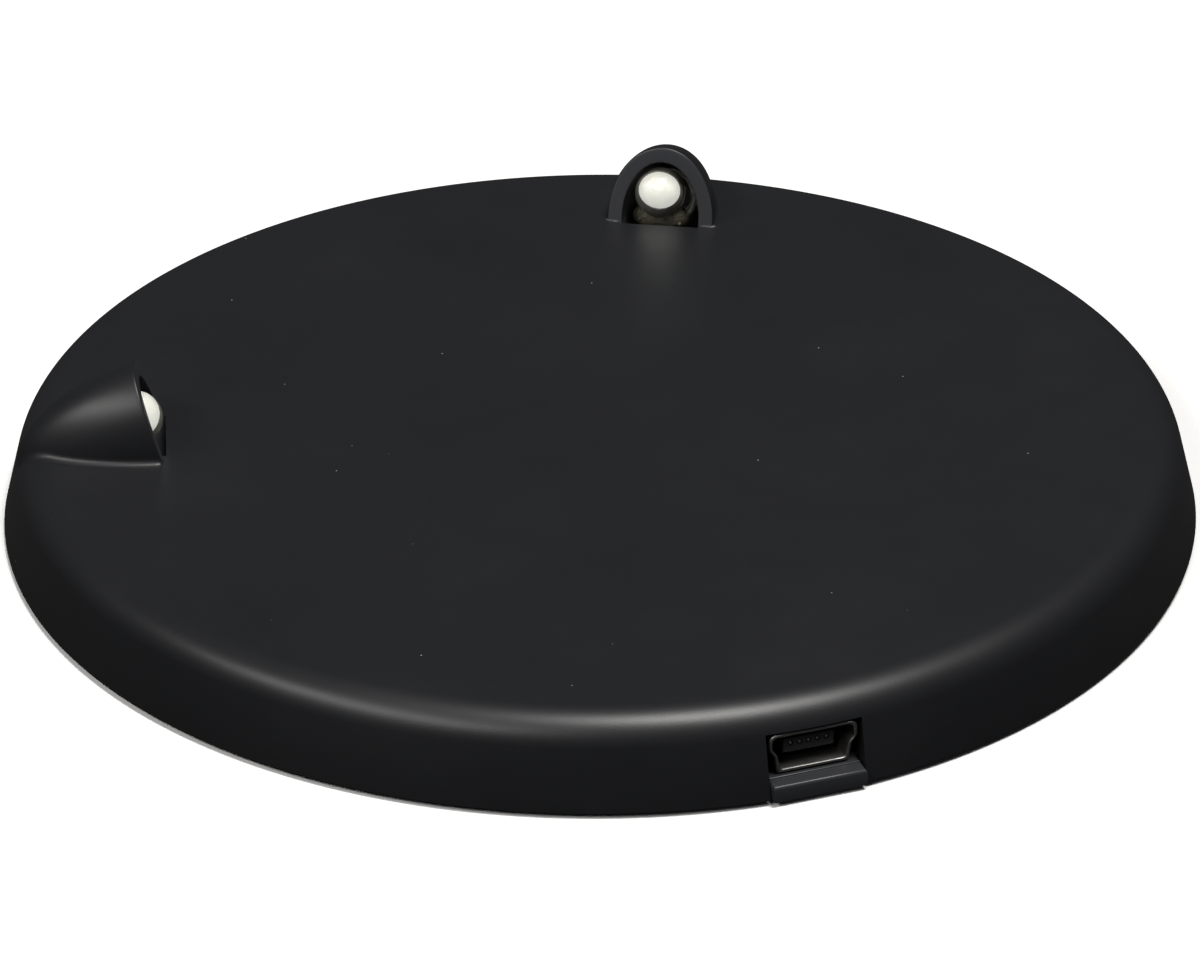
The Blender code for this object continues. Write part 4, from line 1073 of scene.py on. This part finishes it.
def make_glue(side, material):
    """A lumpy bead of glue under a lamp, with three stray drops."""
    bm = bmesh.new()
    bmesh.ops.create_icosphere(bm, subdivisions=5, radius=1.0,
                               matrix=Matrix.Translation(GLUE_MIDDLE)
                               @ Matrix.Diagonal((*GLUE_HALF_SIZE, 1)))
    for vert in bm.verts:
        lump = math.sin(2100 * vert.co.y + 1.3) * math.sin(2600 * vert.co.z) * GLUE_LUMP
        vert.co += vert.co.normalized() * lump
    bead = close_up("bead", bm)
    bore, end = LENS_RADIUS + 0.03 * MM, 9 * MM
    barrel = spun([(0, BELOW_Z), (bore, BELOW_Z), (bore, end), (0, end)], 72)
    cut(bead, close_up("barrel", barrel))
    bead.data.transform(lens_seat(side))
    shells = [bead]
    for place, size in GLUE_DROPS:
        drop = bmesh.new()
        bmesh.ops.create_icosphere(drop, subdivisions=4, radius=size * MM,
                                   matrix=Matrix.Translation(Vector(place) * MM))
        drop.transform(lens_seat(side))
        shells.append(close_up("drop", drop))
    whole = join("glue_" + side, shells, material, 50.0)
    return put(whole, "clear_glue", "lamp_glue_" + side)


# ---------------------------------------------------------------- studio

CAMERA_LENS = 142.2
CAMERA_ELEVATION = 0.5114      # radians
CAMERA_AZIMUTH = math.radians(-109.3)
CAMERA_DISTANCE = 0.44
CAMERA_TARGET = Vector((0, 0, 0.5 * MM))
CAMERA_LIFT = 9.14 / 4740.0    # how far above the target it points, as a slope
CAMERA_ROLL = 0.0053
# Name, place, size (wide, tall or None for a round one) and power of each soft light
SOFTBOXES = (("overhead", (0.165, -0.265, 1.15), (0.46, None), 15.2),
             ("side", (-0.74, -0.27, 0.79), (0.95, 0.20), 6.6))


def make_camera():
    """Looks 29 degrees down at the pad, a little to the left of its socket."""
    data = bpy.data.cameras.new("camera")
    camera = bpy.data.objects.new("camera", data)
    bpy.context.scene.collection.objects.link(camera)
    bpy.context.scene.camera = camera
    data.sensor_width = 36.0
    data.lens = CAMERA_LENS
    data.clip_start, data.clip_end = 0.01, 20.0
    level, climb = math.cos(CAMERA_ELEVATION), math.sin(CAMERA_ELEVATION)
    place = CAMERA_TARGET + CAMERA_DISTANCE * Vector((level * math.cos(CAMERA_AZIMUTH),
                                                      level * math.sin(CAMERA_AZIMUTH), climb))
    ahead = (CAMERA_TARGET - place).normalized()
    right = ahead.cross(Vector((0, 0, 1))).normalized()
    up = right.cross(ahead)
    ahead, up = ahead + up * CAMERA_LIFT, up - ahead * CAMERA_LIFT
    cosine, sine = math.cos(CAMERA_ROLL), math.sin(CAMERA_ROLL)
    right, up = right * cosine - up * sine, right * sine + up * cosine
    turn = Matrix((right, up, -ahead)).transposed().to_4x4()
    camera.matrix_world = Matrix.Translation(place) @ turn


def make_floor():
    """Pale paper for the camera; the pad and lamps see it as dark."""
    disc = bmesh.new()
    bmesh.ops.create_circle(disc, cap_ends=True, segments=96, radius=4.0)
    paper = Finish("floor_paper", Roughness=0.95, Specular_IOR_Level=0.1)
    tooth = paper.noise(1.5 * MM, 3.0)
    paper.vary("Base Color", paper.mix(tooth, (0.86, 0.86, 0.86), (0.90, 0.90, 0.90)))
    dull = paper.node("ShaderNodeBsdfDiffuse", None, {"Color": (0.03, 0.03, 0.03)})
    seen = paper.node("ShaderNodeLightPath")["Is Camera Ray"]
    blend = paper.node("ShaderNodeMixShader", None, {0: seen, 1: dull["BSDF"]})
    paper.tree.links.new(paper.shader.outputs[0], blend.made.inputs[2])
    surface = paper.tree.nodes["Material Output"].inputs["Surface"]
    paper.tree.links.new(blend.made.outputs[0], surface)
    mesh = bpy.data.meshes.new("floor")
    disc.to_mesh(mesh)
    disc.free()
    add_piece("floor", mesh, paper.material)


def make_softbox(name, place, size, power):
    """A soft light aimed at the middle of the pad."""
    wide, tall = size
    data = bpy.data.lights.new(name, "AREA")
    data.shape = "RECTANGLE" if tall else "DISK"
    data.size = wide
    data.size_y = tall or wide
    data.energy = power
    data.color = (1.0, 0.985, 0.96)
    light = bpy.data.objects.new(name, data)
    bpy.context.scene.collection.objects.link(light)
    turn = (-Vector(place)).to_track_quat("-Z", "Y").to_matrix().to_4x4()
    light.matrix_world = Matrix.Translation(place) @ turn


def make_world():
    """Pale for the camera, and a faint cool fill for everything else."""
    world = bpy.data.worlds.new("studio")
    bpy.context.scene.world = world
    world.use_nodes = True
    tree = world.node_tree
    sky = tree.nodes["Background"]
    sky.inputs["Color"].default_value = (0.82, 0.86, 0.95, 1.0)
    sky.inputs["Strength"].default_value = 0.06
    pale = tree.nodes.new("ShaderNodeBackground")
    pale.inputs["Color"].default_value = (0.95, 0.95, 0.95, 1.0)
    ray = tree.nodes.new("ShaderNodeLightPath")
    blend = tree.nodes.new("ShaderNodeMixShader")
    tree.links.new(ray.outputs["Is Camera Ray"], blend.inputs[0])
    tree.links.new(sky.outputs[0], blend.inputs[1])
    tree.links.new(pale.outputs[0], blend.inputs[2])
    tree.links.new(blend.outputs[0], tree.nodes["World Output"].inputs["Surface"])


def main():
    make_camera()
    black = moulded_black()
    under = base_black()
    tin = metal("tinned_steel", (0.26, 0.255, 0.245), (0.16, 0.155, 0.145), 0.36,
                0.08 * MM, 0.006 * MM)
    zinc = metal("zinc_steel", (0.62, 0.63, 0.65), (0.45, 0.44, 0.42), 0.30,
                 0.10 * MM, 0.010 * MM)
    nickel = metal("nickel_plate", (0.50, 0.49, 0.46), (0.34, 0.33, 0.30), 0.30,
                   0.06 * MM, 0.004 * MM)
    resin = chip_resin()
    ferrite = fired("grey_ferrite", (0.045, 0.045, 0.048), (0.105, 0.105, 0.108), 0.55,
                    0.14 * MM)
    clay = fired("tan_ceramic", (0.36, 0.24, 0.13), (0.52, 0.38, 0.24), 0.42, 0.10 * MM)
    epoxy, milk, glue = clear_epoxy(), milky_core(), hot_glue()

    # the hoods' faces and liners get a paler copy of the satin black: painted light
    make_top(black, moulded_black("hood_face_painted_light", 3.4))
    # the sill gets a paler copy of the satin black: painted light
    make_base(under, moulded_black("sill_painted_light", 2.4))
    soft = rubber()
    for number, degrees in enumerate(FOOT_ANGLES, 1):
        make_foot(number, degrees, soft)
    for number, degrees in enumerate(SCREW_ANGLES, 1):
        make_screw(number, degrees, zinc)
    make_socket(tin)
    make_tongue(insulator())
    for number in range(1, CONTACTS + 1):
        make_contact(number, nickel)
    for side in LAMPS:
        make_lens(side, epoxy)
        make_core(side, milk)
        make_glue(side, glue)

    kept = {"circuit_board": laminate(), "coil_driver": resin, "control_chip": resin,
            "lamp_resistor_left": resin, "lamp_resistor_back": resin, "tank_capacitor": clay,
            "input_capacitor": clay, "power_inductor": ferrite, "ferrite_sheet": ferrite,
            "charging_coil": enamelled_copper(), "coil_tape": tape()}
    red = sleeving("red_insulation", (0.36, 0.012, 0.010), (0.52, 0.030, 0.022))
    dark = sleeving("black_insulation", (0.014, 0.014, 0.015), (0.030, 0.030, 0.031))
    for side in LAMPS:
        kept["lamp_anode_" + side] = tin
        kept["lamp_cathode_" + side] = tin
        kept["lamp_wire_%s_red" % side] = red
        kept["lamp_wire_%s_black" % side] = dark
    for name, material in kept.items():
        for slot in nodes[name].material_slots:
            slot.material = material

    make_floor()
    for name, place, size, power in SOFTBOXES:
        make_softbox(name, place, size, power)
    make_world()
    bpy.context.scene.view_settings.view_transform = "Standard"


main()
